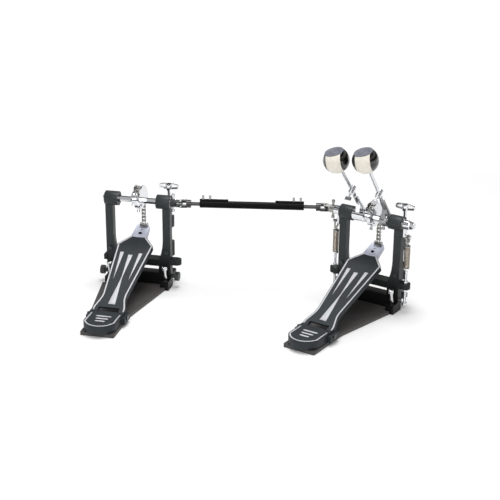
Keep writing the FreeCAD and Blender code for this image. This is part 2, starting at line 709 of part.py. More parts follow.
def cam():
    """Two sector plates on a drum, with a stop pin at the chain's end and a key screw under the drum."""
    half = CAM_GAP / 2
    plates = []
    for side in (-1, 1):
        x0, x1 = sorted((CHAIN_X + side * half, CHAIN_X + side * (half + CAM_PLATE_T)))
        rim = [V(x0, *around(CAM_R, angle)) for angle in (CAM_FROM, (CAM_FROM + CAM_TO) / 2, CAM_TO)]
        middle = V(x0, 0, AXLE_Z)
        edges = [Part.makeLine(middle, rim[0]), Part.Arc(*rim).toShape(), Part.makeLine(rim[2], middle)]
        plates.append(Part.Face(Part.Wire(edges)).extrude(V(x1 - x0, 0, 0)))
        plates.append(x_rod(CAM_HUB_R, x0, x1))
    width = half + CAM_PLATE_T
    drum = x_rod(CAM_DRUM_R, CHAIN_X - half, CHAIN_X + half)
    past_end = math.degrees((LINK_R + STOP_R + SLIDE_FIT) / CHAIN_R)
    stop = x_rod(STOP_R, CHAIN_X - width, CHAIN_X + width, *around(CHAIN_R, upper_angles()[-1] + past_end))
    reach = width + OVER
    bore = hex_bar(AXLE_HEX + 2 * RUN_FIT, (CHAIN_X - reach, 0, AXLE_Z), (CHAIN_X + reach, 0, AXLE_Z))
    solid = fuse(drum, *plates, stop).cut(bore)
    return with_screw(solid, CHAIN_X, CAM_KEY_AT, CAM_DRUM_R, KEY_STAND, KEY_DEPTH, KEY_SCREW_R, KEY_HEAD_R)


def with_screw(body, x, degrees, surface, stand, depth, shank_r, head_r=0.0):
    """Body with a screw set square into its round surface, standing out of it, with a head if it has one."""
    y, z = around(1.0, degrees)
    outward = V(0, y, z - AXLE_Z)
    seat = V(x, 0, AXLE_Z) + outward * surface
    hole = rod(shank_r + RUN_FIT, seat - outward * depth, seat + outward * OVER)
    screw = rod(shank_r, seat - outward * depth, seat + outward * stand)
    if head_r:
        screw = fuse(screw, rod(head_r, seat + outward * stand, seat + outward * (stand + KEY_HEAD_T)))
    return Part.makeCompound([body.cut(hole), screw])


def slave_axle():
    core = hex_bar(AXLE_HEX, (-HOUSING_IN, 0, AXLE_Z), (HOUSING_IN, 0, AXLE_Z))
    right = YOKE_SLAVE_X - YOKE_CROTCH - OVER
    left = -POST_OUT - SLIDE_FIT
    collar = x_rod(COLLAR_R, left - COLLAR_T, left)
    journals = [x_rod(JOURNAL_R, left - COLLAR_T, -HOUSING_IN), x_rod(JOURNAL_R, HOUSING_IN, right)]
    return fuse(core, *journals, collar)


def main_axle():
    """Main axle with its end nut: journal, hexagon for cam and hub, pilot in the slave beater's sleeve."""
    left = SLEEVE_IN + SLIDE_FIT
    shaft = fuse(hex_bar(AXLE_HEX, (left, 0, AXLE_Z), (HOUSING_IN, 0, AXLE_Z)),
                 x_rod(JOURNAL_R, HOUSING_IN, AXLE_END),
                 x_rod(PILOT_R, left - PILOT_LEN, left))
    nut_at = CRANK_IN + CRANK_HUB_W
    nut = hex_bar(AXLE_NUT, (nut_at, 0, AXLE_Z), (nut_at + AXLE_NUT_T, 0, AXLE_Z))
    thread = x_rod(JOURNAL_R + RUN_FIT, nut_at - OVER, nut_at + AXLE_NUT_T + OVER)
    return Part.makeCompound([shaft, nut.cut(thread)])


def rod_frame(lean, x):
    """Foot of a beater rod beside the axle, its direction and its square direction to the drum side."""
    angle = math.radians(lean)
    along = V(0, -math.sin(angle), math.cos(angle))
    across = V(0, math.cos(angle), math.sin(angle))
    return V(x, 0, AXLE_Z) + across * ROD_OFFSET, along, across


def rod_block(lean, x):
    """Tapered holder of the beater rod, with a web that joins it to the hub on the axle."""
    neck = Part.makeCone(HUB_NECK_R, HUB_NECK_TOP_R, HUB_NECK_TOP - HUB_NECK_LOW, V(x, 0, HUB_NECK_LOW))
    corners = [(-ROD_OFFSET, HUB_NECK_LOW), (0.0, HUB_NECK_LOW), (0.0, HUB_WEB_TOP),
               (-HUB_WEB_IN, HUB_WEB_TOP), (-ROD_OFFSET - HUB_WEB_BACK, HUB_WEB_RISE)]
    points = [V(x - HUB_WEB_W / 2, y, z) for y, z in corners]
    web = Part.Face(Part.makePolygon([*points, points[0]])).extrude(V(HUB_WEB_W, 0, 0))
    block = fuse(neck, web)
    block.rotate(V(0, 0, 0), V(1, 0, 0), lean)
    foot, along, across = rod_frame(lean, 0)
    block.translate(foot)
    return block


def rod_bore(lean, x):
    foot, along, across = rod_frame(lean, x)
    return rod(ROD_R + RUN_FIT, foot - along * (2 * ROD_BELOW), foot + along * BALL_AT)


def main_beater_hub():
    half = HUB_W / 2
    hub = fuse(x_rod(HUB_R, BEATER_X - half, BEATER_X + half), rod_block(MAIN_LEAN_DEG, BEATER_X))
    bore = hex_bar(AXLE_HEX + 2 * RUN_FIT, (BEATER_X - HUB_W, 0, AXLE_Z), (BEATER_X + HUB_W, 0, AXLE_Z))
    bore = bore.common(box(BEATER_X - HUB_W, HOUSING_IN, -HUB_R, HUB_R, 0, 2 * AXLE_Z))
    solid = hub.cut(bore).cut(rod_bore(MAIN_LEAN_DEG, BEATER_X))
    return with_screw(solid, BEATER_X, HUB_KEY_AT, HUB_R, KEY_STAND, KEY_DEPTH, KEY_SCREW_R, KEY_HEAD_R)


def slave_beater_sleeve():
    """Sleeve that turns on the main axle's pilot, with a journal through the left housing."""
    journal_end = -(YOKE_MAIN_X - YOKE_CROTCH - OVER)
    body = fuse(x_rod(SLEEVE_R, SLEEVE_OUT, SLEEVE_IN), rod_block(SLAVE_LEAN_DEG, -BEATER_X),
                x_rod(JOURNAL_R, journal_end, SLEEVE_OUT))
    pilot = x_rod(PILOT_R + RUN_FIT, SLEEVE_IN - PILOT_LEN - OVER, SLEEVE_IN + OVER)
    solid = body.cut(pilot).cut(rod_bore(SLAVE_LEAN_DEG, -BEATER_X))
    return with_screw(solid, SLEEVE_SCREW_X, SLEEVE_SCREW_AT, SLEEVE_R, SET_STAND, SET_DEPTH, KEY_SCREW_R)


def beater_rod(lean, x):
    foot, along, across = rod_frame(lean, x)
    return rod(ROD_R, foot - along * ROD_BELOW, foot + along * (BALL_AT + ROD_IN_BALL))


def memory_lock(lean, x):
    """Barrel across the rod with a wing screw towards the drummer."""
    foot, along, across = rod_frame(lean, x)
    middle = foot + along * LOCK_AT
    barrel = rod(LOCK_R, middle - across * LOCK_BACK, middle + across * LOCK_FRONT)
    reach = along * (LOCK_R + OVER)
    bore = rod(ROD_R + RUN_FIT, middle - reach, middle + reach)
    screw = rod(LOCK_SCREW_R, middle - across * (ROD_R + OVER), middle - across * LOCK_SCREW_LEN)
    thick, span, height = LOCK_WING
    wing = box(-span / 2, span / 2, -height, 0, -thick / 2, thick / 2)
    wing.rotate(V(0, 0, 0), V(1, 0, 0), lean)
    wing.translate(middle - across * (LOCK_SCREW_LEN - LOCK_WING_IN))
    return fuse(barrel, screw, wing).cut(bore)


def beater_head(lean, x):
    """Ball with a flat top that carries a round disc, more upright than the rod and rolled to the left."""
    foot, along, across = rod_frame(lean, x)
    centre = foot + along * BALL_AT
    roll = math.radians(HEAD_ROLL_DEG)
    top = rod_frame(HEAD_LEAN_DEG, x)[1] * math.cos(roll) - V(math.sin(roll), 0, 0)
    ball = Part.makeSphere(BALL_R, centre)
    over = rod(BALL_R + OVER, centre + top * BALL_FLAT, centre + top * (BALL_R + OVER))
    disc = rod(DISC_R, centre + top * BALL_FLAT, centre + top * (BALL_FLAT + DISC_T))
    bore = rod(ROD_R + RUN_FIT, centre - along * (BALL_R + OVER), centre + along * (ROD_IN_BALL + RUN_FIT))
    return fuse(ball.cut(over), disc).cut(bore)


def spring_crank():
    """Crank of the right spring: hub on the axle's end, arm downwards, pin and bush for the spring's eye."""
    outer = CRANK_IN + CRANK_HUB_W
    hub = x_rod(CRANK_HUB_R, CRANK_IN, outer)
    arm = box(CRANK_IN, CRANK_IN + CRANK_ARM_T, -CRANK_ARM_W / 2, CRANK_ARM_W / 2, CRANK_PIN_Z, AXLE_Z)
    foot = x_rod(CRANK_ARM_W / 2, CRANK_IN, CRANK_IN + CRANK_ARM_T, 0, CRANK_PIN_Z)
    bush_at = EAR_X + EYE_T / 2 + CRANK_BUSH_GAP
    pin = x_rod(CRANK_PIN_R, CRANK_IN, bush_at + OVER, 0, CRANK_PIN_Z)
    bush = x_rod(CRANK_BUSH_R, bush_at, bush_at + CRANK_BUSH_T, 0, CRANK_PIN_Z)
    solid = fuse(hub, arm, foot, pin, bush)
    return solid.cut(x_rod(JOURNAL_R + RUN_FIT, CRANK_IN - OVER, outer + OVER))


def arc_between(start, tangent, end):
    """Arc that leaves start along tangent and reaches end."""
    chord = end - start
    middle = start + chord * 0.5
    reach = chord.Length ** 2 / (2 * chord.dot(tangent))
    apex = start + tangent * reach
    height = apex - middle
    turn = math.atan2(height.Length, chord.Length / 2)
    top = middle + height.normalize() * (chord.Length / 2 * math.tan(turn / 2))
    return Part.Arc(start, top, end).toShape()


def helix_point(turn):
    """Point and tangent of the coil's middle line after a number of turns."""
    angle = 2 * math.pi * turn
    point = V(EAR_X + COIL_R * math.cos(angle), COIL_R * math.sin(angle), COIL_FOOT + COIL_PITCH * turn)
    tangent = V(-COIL_R * math.sin(angle), COIL_R * math.cos(angle), COIL_PITCH / (2 * math.pi)).normalize()
    return point, tangent


def coil_spring():
    """One unbroken wire: half-turn biarcs, with each end running straight for one wire diameter."""
    first, lead = helix_point(0)
    edges = [Part.makeLine(first - lead * (2 * WIRE_R), first)]
    for half in range(2 * COIL_TURNS):
        start, leave = helix_point(half / 2)
        end, arrive = helix_point((half + 1) / 2)
        chord = end - start
        both = leave + arrive
        spread = 2 * (1 - leave.dot(arrive))
        reach = (math.sqrt(chord.dot(both) ** 2 + spread * chord.dot(chord)) - chord.dot(both)) / spread
        join = (start + leave * reach + end - arrive * reach) * 0.5
        edges.append(arc_between(start, leave, join))
        edges.append(arc_between(join, (end - arrive * reach - start - leave * reach).normalize(), end))
    last, lead_out = helix_point(COIL_TURNS)
    edges.append(Part.makeLine(last, last + lead_out * (2 * WIRE_R)))
    section = Part.Wire(Part.makeCircle(WIRE_R, first - lead * (2 * WIRE_R), lead))
    return Part.Wire(edges).makePipeShell([section], True, False)


def coil_gap():
    """Least gap between neighbouring turns, measured on points of the middle line."""
    steps = 48
    points = [helix_point(index / steps)[0] for index in range(COIL_TURNS * steps + 1)]
    apart = steps // 2
    gaps = [(points[a] - points[b]).Length
            for a in range(0, len(points), 4) for b in range(a + apart, min(a + 3 * apart, len(points)))]
    return min(gaps) - 2 * WIRE_R


def spring_hook():
    """Cap on the coil's upper end and the flat eye that hangs on the crank's pin."""
    cap_low = COIL_TOP + WIRE_R + CAP_GAP
    cap = rod(CAP_R, (EAR_X, 0, cap_low), (EAR_X, 0, cap_low + CAP_T))
    top = CRANK_PIN_Z + CRANK_PIN_R + SLIDE_FIT
    low = top - 2 * CRANK_PIN_R - EYE_BELOW
    half = EYE_HALF_W + EYE_RIM
    x0, x1 = EAR_X - EYE_T / 2, EAR_X + EYE_T / 2
    flat = fuse(box(x0, x1, -half, half, low - EYE_RIM, top - EYE_HALF_W + EYE_RIM),
                x_rod(half, x0, x1, 0, top - EYE_HALF_W),
                box(x0, x1, -CAP_R / 2, CAP_R / 2, cap_low + OVER, low))
    eye = fuse(box(x0 - OVER, x1 + OVER, -EYE_HALF_W, EYE_HALF_W, low, top - EYE_HALF_W),
               x_rod(EYE_HALF_W, x0 - OVER, x1 + OVER, 0, top - EYE_HALF_W))
    return fuse(cap, flat).cut(eye)


def tension_rod():
    """Threaded rod through the frame's ear with its cap under the coil and three nuts."""
    cap_top = COIL_FOOT - WIRE_R - CAP_GAP
    stem = fuse(rod(TENSION_R, (EAR_X, 0, TENSION_FOOT), (EAR_X, 0, cap_top - OVER)),
                rod(CAP_R, (EAR_X, 0, cap_top - CAP_T), (EAR_X, 0, cap_top)))
    nuts = []
    for low in (EAR_TOP, EAR_LOW - TENSION_NUT_T, TENSION_FOOT + OVER):
        nut = hex_bar(TENSION_NUT, (EAR_X, 0, low), (EAR_X, 0, low + TENSION_NUT_T))
        high = low + TENSION_NUT_T
        nuts.append(nut.cut(rod(TENSION_R + RUN_FIT / 2, (EAR_X, 0, low - OVER), (EAR_X, 0, high + OVER))))
    return Part.makeCompound([stem, *nuts])


def tee_wing(inset, corner_r):
    """Upright wing of the tee handle to the right of its axis, drawn in by an inset for the loop's hole."""
    root = CLAMP_COLLAR_R / 2 + inset
    tip = TEE_SPAN / 2 - inset
    high = TEE_ROOT_H / 2 - inset
    low = TEE_TIP_H / 2 - inset
    deep = TEE_T / 2 + inset
    corners = [(root, -high), (tip, -low), (tip, low), (root, high)]
    wing = slab([(*corner, corner_r) for corner in corners], -deep, deep)
    return turned(wing, (0, 0, 0), (1, 0, 0), 90)


def clamp_rod():
    """Tee rod of the hoop clamp: stem, collars above and below the upper boss, hub and two wings."""
    at = (CLAMP_X, CLAMP_Y)
    low, high = BOSS_HIGH
    stem = rod(CLAMP_ROD_R, (*at, CLAMP_ROD_FOOT), (*at, TEE_Z))
    above = rod(CLAMP_COLLAR_R, (*at, high + SLIDE_FIT), (*at, high + SLIDE_FIT + CLAMP_COLLAR_T))
    below = rod(CLAMP_COLLAR_R, (*at, low - SLIDE_FIT - CLAMP_COLLAR_T), (*at, low - SLIDE_FIT))
    hub = rod(CLAMP_COLLAR_R, (*at, TEE_Z - TEE_HUB_BELOW), (*at, TEE_Z + TEE_HUB_ABOVE))
    wing = tee_wing(0.0, TEE_CORNER_R).cut(tee_wing(TEE_RIM, TEE_CORNER_R - TEE_RIM / 2))
    wings = []
    for side in (wing, mirror_x(wing)):
        side.translate(V(CLAMP_X, CLAMP_Y, TEE_Z))
        wings.append(side)
    return fuse(stem, above, below, hub, *wings)


def hoop_jaw():
    """Upper jaw of the hoop clamp: a narrow bar with an ear that the tee rod's thread carries."""
    corners = [(JAW_LEFT, JAW_REAR, JAW_REAR_R), (JAW_RIGHT, JAW_REAR, JAW_REAR_R),
               (JAW_RIGHT, JAW_EAR_FRONT, JAW_FRONT_R), (JAW_EAR_X, JAW_EAR_FRONT, JAW_FRONT_R),
               (JAW_EAR_X, JAW_FRONT, JAW_REAR_R), (JAW_LEFT, JAW_FRONT, JAW_FRONT_R)]
    bar = slab(corners, JAW_LOW, JAW_LOW + JAW_T)
    thread = rod(CLAMP_ROD_R + RUN_FIT, (CLAMP_X, CLAMP_Y, 0), (CLAMP_X, CLAMP_Y, AXLE_Z))
    return bar.cut(thread)


def spur_rod(radius, low, high):
    """Straight rod along the right spur's axis between two heights."""
    lean = math.tan(math.radians(SPUR_LEAN))
    points = [(SPUR_X, SPUR_FOOT_Y - (z - SPUR_TIP) * lean, z) for z in (low, high)]
    return rod(radius, *points)


def spur():
    """Right spur: round head, shank and point."""
    head_low = SPUR_TOP - SPUR_HEAD_T
    shank = spur_rod(SPUR_R, SPUR_TIP + SPUR_TIP_LEN, SPUR_TOP)
    lean = math.tan(math.radians(SPUR_LEAN))
    base = V(SPUR_X, SPUR_FOOT_Y - SPUR_TIP_LEN * lean, SPUR_TIP + SPUR_TIP_LEN)
    tip = V(SPUR_X, SPUR_FOOT_Y, SPUR_TIP)
    point = Part.makeCone(SPUR_R, SPUR_POINT_R, (tip - base).Length, base, tip - base)
    return fuse(shank, spur_rod(SPUR_HEAD_R, head_low, SPUR_TOP), point)


def placed(shape, origin, x_axis, z_axis):
    """Moves a piece made at the origin so that its X and Z run along the given directions."""
    x_axis, z_axis = V(*x_axis).normalize(), V(*z_axis).normalize()
    y_axis = z_axis.cross(x_axis)
    matrix = FreeCAD.Matrix(x_axis.x, y_axis.x, z_axis.x, origin.x, x_axis.y, y_axis.y, z_axis.y, origin.y,
                            x_axis.z, y_axis.z, z_axis.z, origin.z, 0, 0, 0, 1)
    copy = shape.copy()
    copy.Placement = FreeCAD.Placement(matrix).multiply(copy.Placement)
    return copy


def yoke(bore_r):
    """Fork whose hub lies towards -X of the joint's centre and whose ears lie above and below it."""
    hub = x_rod(YOKE_R, -YOKE_CROTCH - YOKE_HUB_LEN, -YOKE_CROTCH, 0, 0)
    pieces = []
    for side in (-1, 1):
        z0, z1 = sorted((side * YOKE_EAR_IN, side * YOKE_R))
        pieces.append(box(-YOKE_CROTCH - OVER, 0, -YOKE_EAR_W, YOKE_EAR_W, z0, z1))
        pieces.append(rod(YOKE_EAR_W, (0, 0, z0), (0, 0, z1)))
    return fuse(hub, *pieces).cut(rod(bore_r, (0, 0, -YOKE_R - OVER), (0, 0, YOKE_R + OVER)))


def axle_yoke(centre, along, turn):
    """Yoke on an axle's end, turned to where the stroke begins, with key screws above and below its hub."""
    journal = x_rod(JOURNAL_R + RUN_FIT, -2 * YOKE_CROTCH - YOKE_HUB_LEN, -YOKE_CROTCH - OVER + RUN_FIT, 0, 0)
    fork = placed(yoke(TRUNNION_R + RUN_FIT).cut(journal), centre, along, (0, 0, 1))
    fork.rotate(centre, along, turn)
    seat = centre - along * (YOKE_CROTCH + YOKE_HUB_LEN / 2)
    pieces = []
    for side in (-1, 1):
        up = V(0, 0, side)
        inner = seat + up * (JOURNAL_R + SLIDE_FIT)
        neck = seat + up * (YOKE_KEY_TOP - KEY_HEAD_T)
        fork = fork.cut(rod(KEY_SCREW_R + RUN_FIT, seat, neck))
        pieces.append(fuse(rod(KEY_SCREW_R, inner, neck), rod(KEY_HEAD_R, neck, seat + up * YOKE_KEY_TOP)))
    return Part.makeCompound([fork, *pieces])


def joint_cross(centre):
    """Four-armed cross as it stands in the middle of the stroke."""
    level = V(0, 0, 1).cross(SHAFT_DIR)
    arms = [rod(TRUNNION_R, centre - axis * YOKE_R, centre + axis * YOKE_R) for axis in (V(0, 0, 1), level)]
    return fuse(Part.makeSphere(CROSS_R, centre), *arms)


def shaft_point(along):
    return JOINT_LEFT + SHAFT_DIR * along


def shaft_rod(centre, towards, far):
    """Hexagonal inner rod with its yoke, turned to where the stroke begins."""
    level = V(0, 0, 1).cross(SHAFT_DIR)
    fork = placed(yoke(TRUNNION_R + TRUNNION_FREE), centre, towards, level)
    fork.rotate(centre, SHAFT_DIR, STROKE / 2)
    near = centre - towards * (YOKE_CROTCH + OVER)
    return fuse(fork, hex_bar(DRIVE_HEX, near, far))


def shaft_tube():
    """Outer tube with a raised clamp strip at each end."""
    end = TUBE_FROM + TUBE_LEN
    body = rod(TUBE_R, shaft_point(TUBE_FROM), shaft_point(end))
    strips = []
    for start in (0.0, TUBE_LEN - STRIP_LEN):
        strip = box(start, start + STRIP_LEN, -STRIP_W / 2, STRIP_W / 2, 0, TUBE_R + STRIP_H)
        strips.append(placed(strip, shaft_point(TUBE_FROM), SHAFT_DIR, (0, 0, 1)))
    bore = rod(TUBE_BORE_R, shaft_point(TUBE_FROM - OVER), shaft_point(end + OVER))
    holes = [rod(SET_SCREW_R + RUN_FIT, point, point + V(0, 0, 2 * TUBE_R)) for point in set_screw_feet()]
    return fuse(body, *strips).cut(bore).cut(Part.makeCompound(holes))


def set_screw_feet():
    """Points of the shaft's axis under the set screws."""
    ends = [TUBE_FROM + step for step in SET_SCREW_AT]
    ends += [TUBE_FROM + TUBE_LEN - step for step in SET_SCREW_AT]
    return [shaft_point(along) for along in ends]


def shaft_set_screws():
    screws = []
    half = SET_SCREW_HEAD / 2
    for foot in set_screw_feet():
        low = DRIVE_HEX / 2 + SLIDE_FIT
        shank = rod(SET_SCREW_R, foot + V(0, 0, low), foot + V(0, 0, SET_SCREW_TOP - OVER))
        head = box(-half, half, -half, half, SET_SCREW_TOP - SET_SCREW_HEAD, SET_SCREW_TOP)
        screws.append(fuse(shank, placed(head, foot, SHAFT_DIR, (0, 0, 1))))
    return Part.makeCompound(screws)


def pedal_parts():
    """Nodes that both pedals have, in a pedal's own frame."""
    right_spur = spur()
    return {"base_plate": base_plate(), "bearings": bearings(), "heel_plate": heel_plate(),
            "hinge_pin": hinge_pin(), "hoop_jaw": hoop_jaw(), "clamp_rod": clamp_rod(),
            "spur_left": mirror_x(right_spur), "spur_right": right_spur, "footboard": footboard(),
            "toe_plate": toe_plate(), "chain_clip": chain_clip(), "chain_lower": chain_lower(),
            "chain_upper": chain_upper(), "cam": cam()}


def on_slave(shape):
    copy = shape.copy()
    copy.Placement = SLAVE_PLACE.multiply(copy.Placement)
    return copy


for name, shape in pedal_parts().items():
    parts["main_" + name] = shape
    parts["slave_" + name] = on_slave(shape)
parts["main_frame"] = frame(False)
parts["slave_frame"] = on_slave(frame(True))
parts["main_fasteners"] = fasteners(False)
parts["slave_fasteners"] = on_slave(fasteners(True))
parts["main_axle"] = main_axle()
parts["slave_axle"] = on_slave(slave_axle())
parts["main_beater_hub"] = main_beater_hub()
parts["slave_beater_sleeve"] = slave_beater_sleeve()
for prefix, lean, x in (("main", MAIN_LEAN_DEG, BEATER_X), ("slave", SLAVE_LEAN_DEG, -BEATER_X)):
    parts[prefix + "_beater_rod"] = beater_rod(lean, x)
    parts[prefix + "_memory_lock"] = memory_lock(lean, x)
    parts[prefix + "_beater_head"] = beater_head(lean, x)
for name, shape in (("spring_crank", spring_crank()), ("spring", coil_spring()),
                    ("spring_hook", spring_hook()), ("tension_rod", tension_rod())):
    parts["main_" + name] = shape
    parts["slave_" + name] = mirror_x(shape)
parts["axle_yoke_left"] = axle_yoke(JOINT_LEFT, SLAVE_DIR, STROKE / 2)
parts["axle_yoke_right"] = axle_yoke(JOINT_RIGHT, V(-1, 0, 0), -STROKE / 2)
parts["joint_cross_left"] = turned(joint_cross(JOINT_LEFT), JOINT_LEFT, SLAVE_DIR, STROKE / 2)
parts["joint_cross_right"] = turned(joint_cross(JOINT_RIGHT), JOINT_RIGHT, V(1, 0, 0), STROKE / 2)
parts["shaft_tube"] = shaft_tube()
parts["shaft_rod_left"] = shaft_rod(JOINT_LEFT, SHAFT_DIR * -1, shaft_point(TUBE_FROM + DRIVE_IN_TUBE))
right_end = shaft_point(TUBE_FROM + TUBE_LEN - DRIVE_IN_TUBE)
parts["shaft_rod_right"] = shaft_rod(JOINT_RIGHT, SHAFT_DIR, right_end)
parts["shaft_set_screws"] = shaft_set_screws()

os.makedirs("parts", exist_ok=True)
for name, shape in sorted(parts.items()):
    shape.exportStep("parts/" + name + ".step")
    valid = "" if shape.isValid() else " NOT VALID"
    print(f"{name}: {len(shape.Solids)} solids, {shape.Volume / 1000:.2f} cm3{valid}")
print(f"least gap between the turns of a spring: {coil_gap():.2f} mm")
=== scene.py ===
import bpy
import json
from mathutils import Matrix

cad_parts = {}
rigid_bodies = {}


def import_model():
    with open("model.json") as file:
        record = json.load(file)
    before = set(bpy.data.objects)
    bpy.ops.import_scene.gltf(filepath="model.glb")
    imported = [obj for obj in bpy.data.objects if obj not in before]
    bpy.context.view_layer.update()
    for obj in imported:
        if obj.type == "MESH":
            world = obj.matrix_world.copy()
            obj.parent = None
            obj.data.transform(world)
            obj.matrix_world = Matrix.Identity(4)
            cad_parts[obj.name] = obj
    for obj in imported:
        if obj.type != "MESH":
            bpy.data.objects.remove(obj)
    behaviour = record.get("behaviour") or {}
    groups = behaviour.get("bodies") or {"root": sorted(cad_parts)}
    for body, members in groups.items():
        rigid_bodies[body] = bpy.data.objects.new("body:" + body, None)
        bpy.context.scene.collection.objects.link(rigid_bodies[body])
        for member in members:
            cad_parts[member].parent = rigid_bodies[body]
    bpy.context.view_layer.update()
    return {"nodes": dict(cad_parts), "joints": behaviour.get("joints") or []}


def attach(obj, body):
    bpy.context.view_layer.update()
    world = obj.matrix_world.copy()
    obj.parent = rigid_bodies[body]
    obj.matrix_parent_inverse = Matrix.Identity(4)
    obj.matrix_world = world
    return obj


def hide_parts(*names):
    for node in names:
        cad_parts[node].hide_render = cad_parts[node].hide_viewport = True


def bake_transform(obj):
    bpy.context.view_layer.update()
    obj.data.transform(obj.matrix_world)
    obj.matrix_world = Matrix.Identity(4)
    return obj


bl_info = {
    "name": "Double bass drum pedal",
    "version": (1, 0, 0),
    "blender": (4, 5, 0),
    "location": "View3D > Sidebar > Pedal",
    "description": "Finishes, trim, beater heads and springs of a double bass drum pedal",
    "category": "Object",
}

import json
import math

import bmesh
import bpy
import numpy as np
from bpy.props import FloatProperty, FloatVectorProperty, IntProperty, PointerProperty
from mathutils import Matrix, Vector

for leftover in list(bpy.data.objects):
    bpy.data.objects.remove(leftover)
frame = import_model()

MM = 0.001
TINY = 1e-6
UP = np.array([0.0, 0.0, 1.0])
SIDES = ("main", "slave")

# Camera of the photograph: places in millimetres, roll in degrees
LOOK_AT = np.array([-305.32, 0.0, 54.22])
LOOK_ALONG = np.array([-0.5140, 0.7778, -0.3618])
CAMERA_BACK = 2832.22
CAMERA_ROLL = 0.45
CAMERA_LENS = 90.47

# Stage, in metres and watts. A light has its place, its target, its width and its power.
# The levels of the room that metal mirrors are (height of the direction, grey).
AMBIENT = 0.42
FLOOR_EDGE = 8.0
FLOOR_Z = -0.0004
FLOOR_GREY = (0.89, 0.91)
FLOOR_LIFT = 0.05
FLOOR_FADE = (0.8, 2.6)
ROOM_LEVELS = [(0.0, 1.0), (0.08, 1.0), (0.12, 0.04), (0.34, 0.04), (0.40, 0.6), (0.62, 0.6), (0.66, 0.03),
               (0.86, 0.03), (0.92, 1.0), (1.0, 1.0)]
LIGHTS = {
    "key_light": ((-0.3, 0.12, 2.6), (-0.25, -0.05, 0.0), 1.2, 46.0),
    "front_light": ((0.7, -2.3, 1.7), (-0.25, 0.0, 0.1), 1.6, 24.0),
}

# Places of the frame that new pieces sit on and finishes change at, in millimetres in a pedal's own frame
AXLE_Z = 195.0
HINGE_Y = -217.62
HINGE_TOP = 25.0
BOARD_RISE = math.radians(22.0)
BOARD_SIDE = [(34.5, 0.0, 1.0), (34.5, 12.0, 12.0), (25.5, 44.0, 60.0), (39.5, 205.0, 5.0),
              (17.5, 231.0, 5.0)]
HEEL_HALF = 34.0
HEEL_CORNER = 50.4
HEEL_END = 76.4
TOE_SQUARE = (243.0, 7.0)
TOE_DOT = (254.0, 1.6)
TOE_SINK = 0.7
SPRING_X = {"main": 85.0, "slave": -85.0}
POST_OUT = 73.0
SCREW_SPLIT = 200.0
YOKE_OUT = 9.0
# Heights over which the frame's paint turns to black towards its foot: painted shade
FOOT_SHADE_FADE = (30.0, 105.0)

# Trim of the footboards: a border line, and wedges as x at foot and top, start and run, and half widths
BORDER_INSET = 0.9
BORDER_TOP = (16.9, 238.0, 0.0)
BORDER_ENDS = (2.5, 235.5)
WEDGE_ROWS = 24
OUTER_WEDGES = ((-16.8, -22.2), (16.6, 19.8))
OUTER_RUN = (96.0, 83.0)
OUTER_HALF = (0.15, 3.9)
MIDDLE_WEDGE = (1.6, -1.4)
MIDDLE_RUN = (22.0, 150.0)
MIDDLE_HALF = (0.35, 7.2, 4.5)
MIDDLE_WAIST = (0.56, 0.5)

# Trim of the heel plates: a border line, and bars as (place behind the hinge, half length)
HEEL_INSET = 2.2
HEEL_START = -11.0
HEEL_ARC = 0.93
HEEL_ROWS = 40
HEEL_BARS = ((-24.0, 17.0), (-36.0, 14.0), (-48.0, 11.0))
BAR_ROWS = 12
BAR_HALF = 2.4

# Dark pads in the pockets of the toes, painted shade where the holes show dark
SHADE_PAD_GAP = 0.05
SHADE_PAD_ROWS = 5
SHADE_PAD_T = 0.4
DOT_HEIGHTS = (-0.3, 0.2, 0.35)
DOT_RIM = 0.3

# Beater heads, in millimetres and degrees
LEANS = {"main": 37.0, "slave": 41.0}
BEATER_X = {"main": 30.0, "slave": -30.0}
HEAD_LEAN = 14.5
HEAD_ROLL = 9.0
ROD_OFFSET = 15.0
BALL_AT = 181.0
BALL_FLAT = 18.5
BALL_ROWS = 97
BALL_COLUMNS = 128
TUFT = 0.12
CHEEK_TWIST = 17.0
CHEEK_SINK = 1.0
CHEEK_RIM = 0.3
CHEEK_PROUD = 0.15
CHEEK_ROWS = 40
CHEEK_COLUMNS = 96
DISC_R = 19.4
DISC_T = 1.5
DISC_SINK = 0.6
GROOVE = (9.6, 12.0)
GROOVE_DEEP = 0.8
DIMPLE_R = 3.2
DIMPLE_DEEP = 0.4

# Springs, threads and spurs, in millimetres
COIL_FOOT = 102.0
COIL_STEPS = 40
WIRE_SIDES = 14
THREAD_FOOT = 22.5
THREAD_LONG = 72.0
THREAD_R = 2.95
THREAD_DEEP = 0.35
THREAD_STEPS = 8
THREAD_SIDES = 20
SPUR_LEAN = math.radians(15.0)
SPUR_X = 63.0
SPUR_TIP = (-9.7, 2.5)
SPUR_HEAD = (46.0, 53.0)
SPUR_HEAD_R = 5.8
SPUR_OVER = (0.2, 0.3)
SPUR_CROWN = 0.16
SPUR_ROWS = 9
RIBS = 22
RIB_STEPS = 8
RIB_SINK = 0.05
RIB_DEEP = 0.28

# Patterns of the finishes: scales of the clouds, and how strongly grain, clouds and wear act
COAT_CLOUDS = 26.0
COAT_GAIN = 4.0
CLOUD_GAIN = 3.0
METAL_CLOUDS = 40.0
SCRATCH_WAY = (1.0, 1.0, 0.06)
WEAR_DARK = 0.6
OXIDE_ROUGH = 0.28

# Softened edges of the frame's nodes: welding distance in metres, and the widths in millimetres by node
WELD_REACH = 1e-5
EDGE_SEGMENTS = 2
EDGE_ANGLE = math.radians(40.0)
SOFT_EDGES = {"frame": 1.2, "heel_plate": 1.0, "footboard": 0.7, "base_plate": 0.8, "hoop_jaw": 1.0,
              "toe_plate": 0.5, "beater_hub": 0.7, "clamp_rod": 0.6}

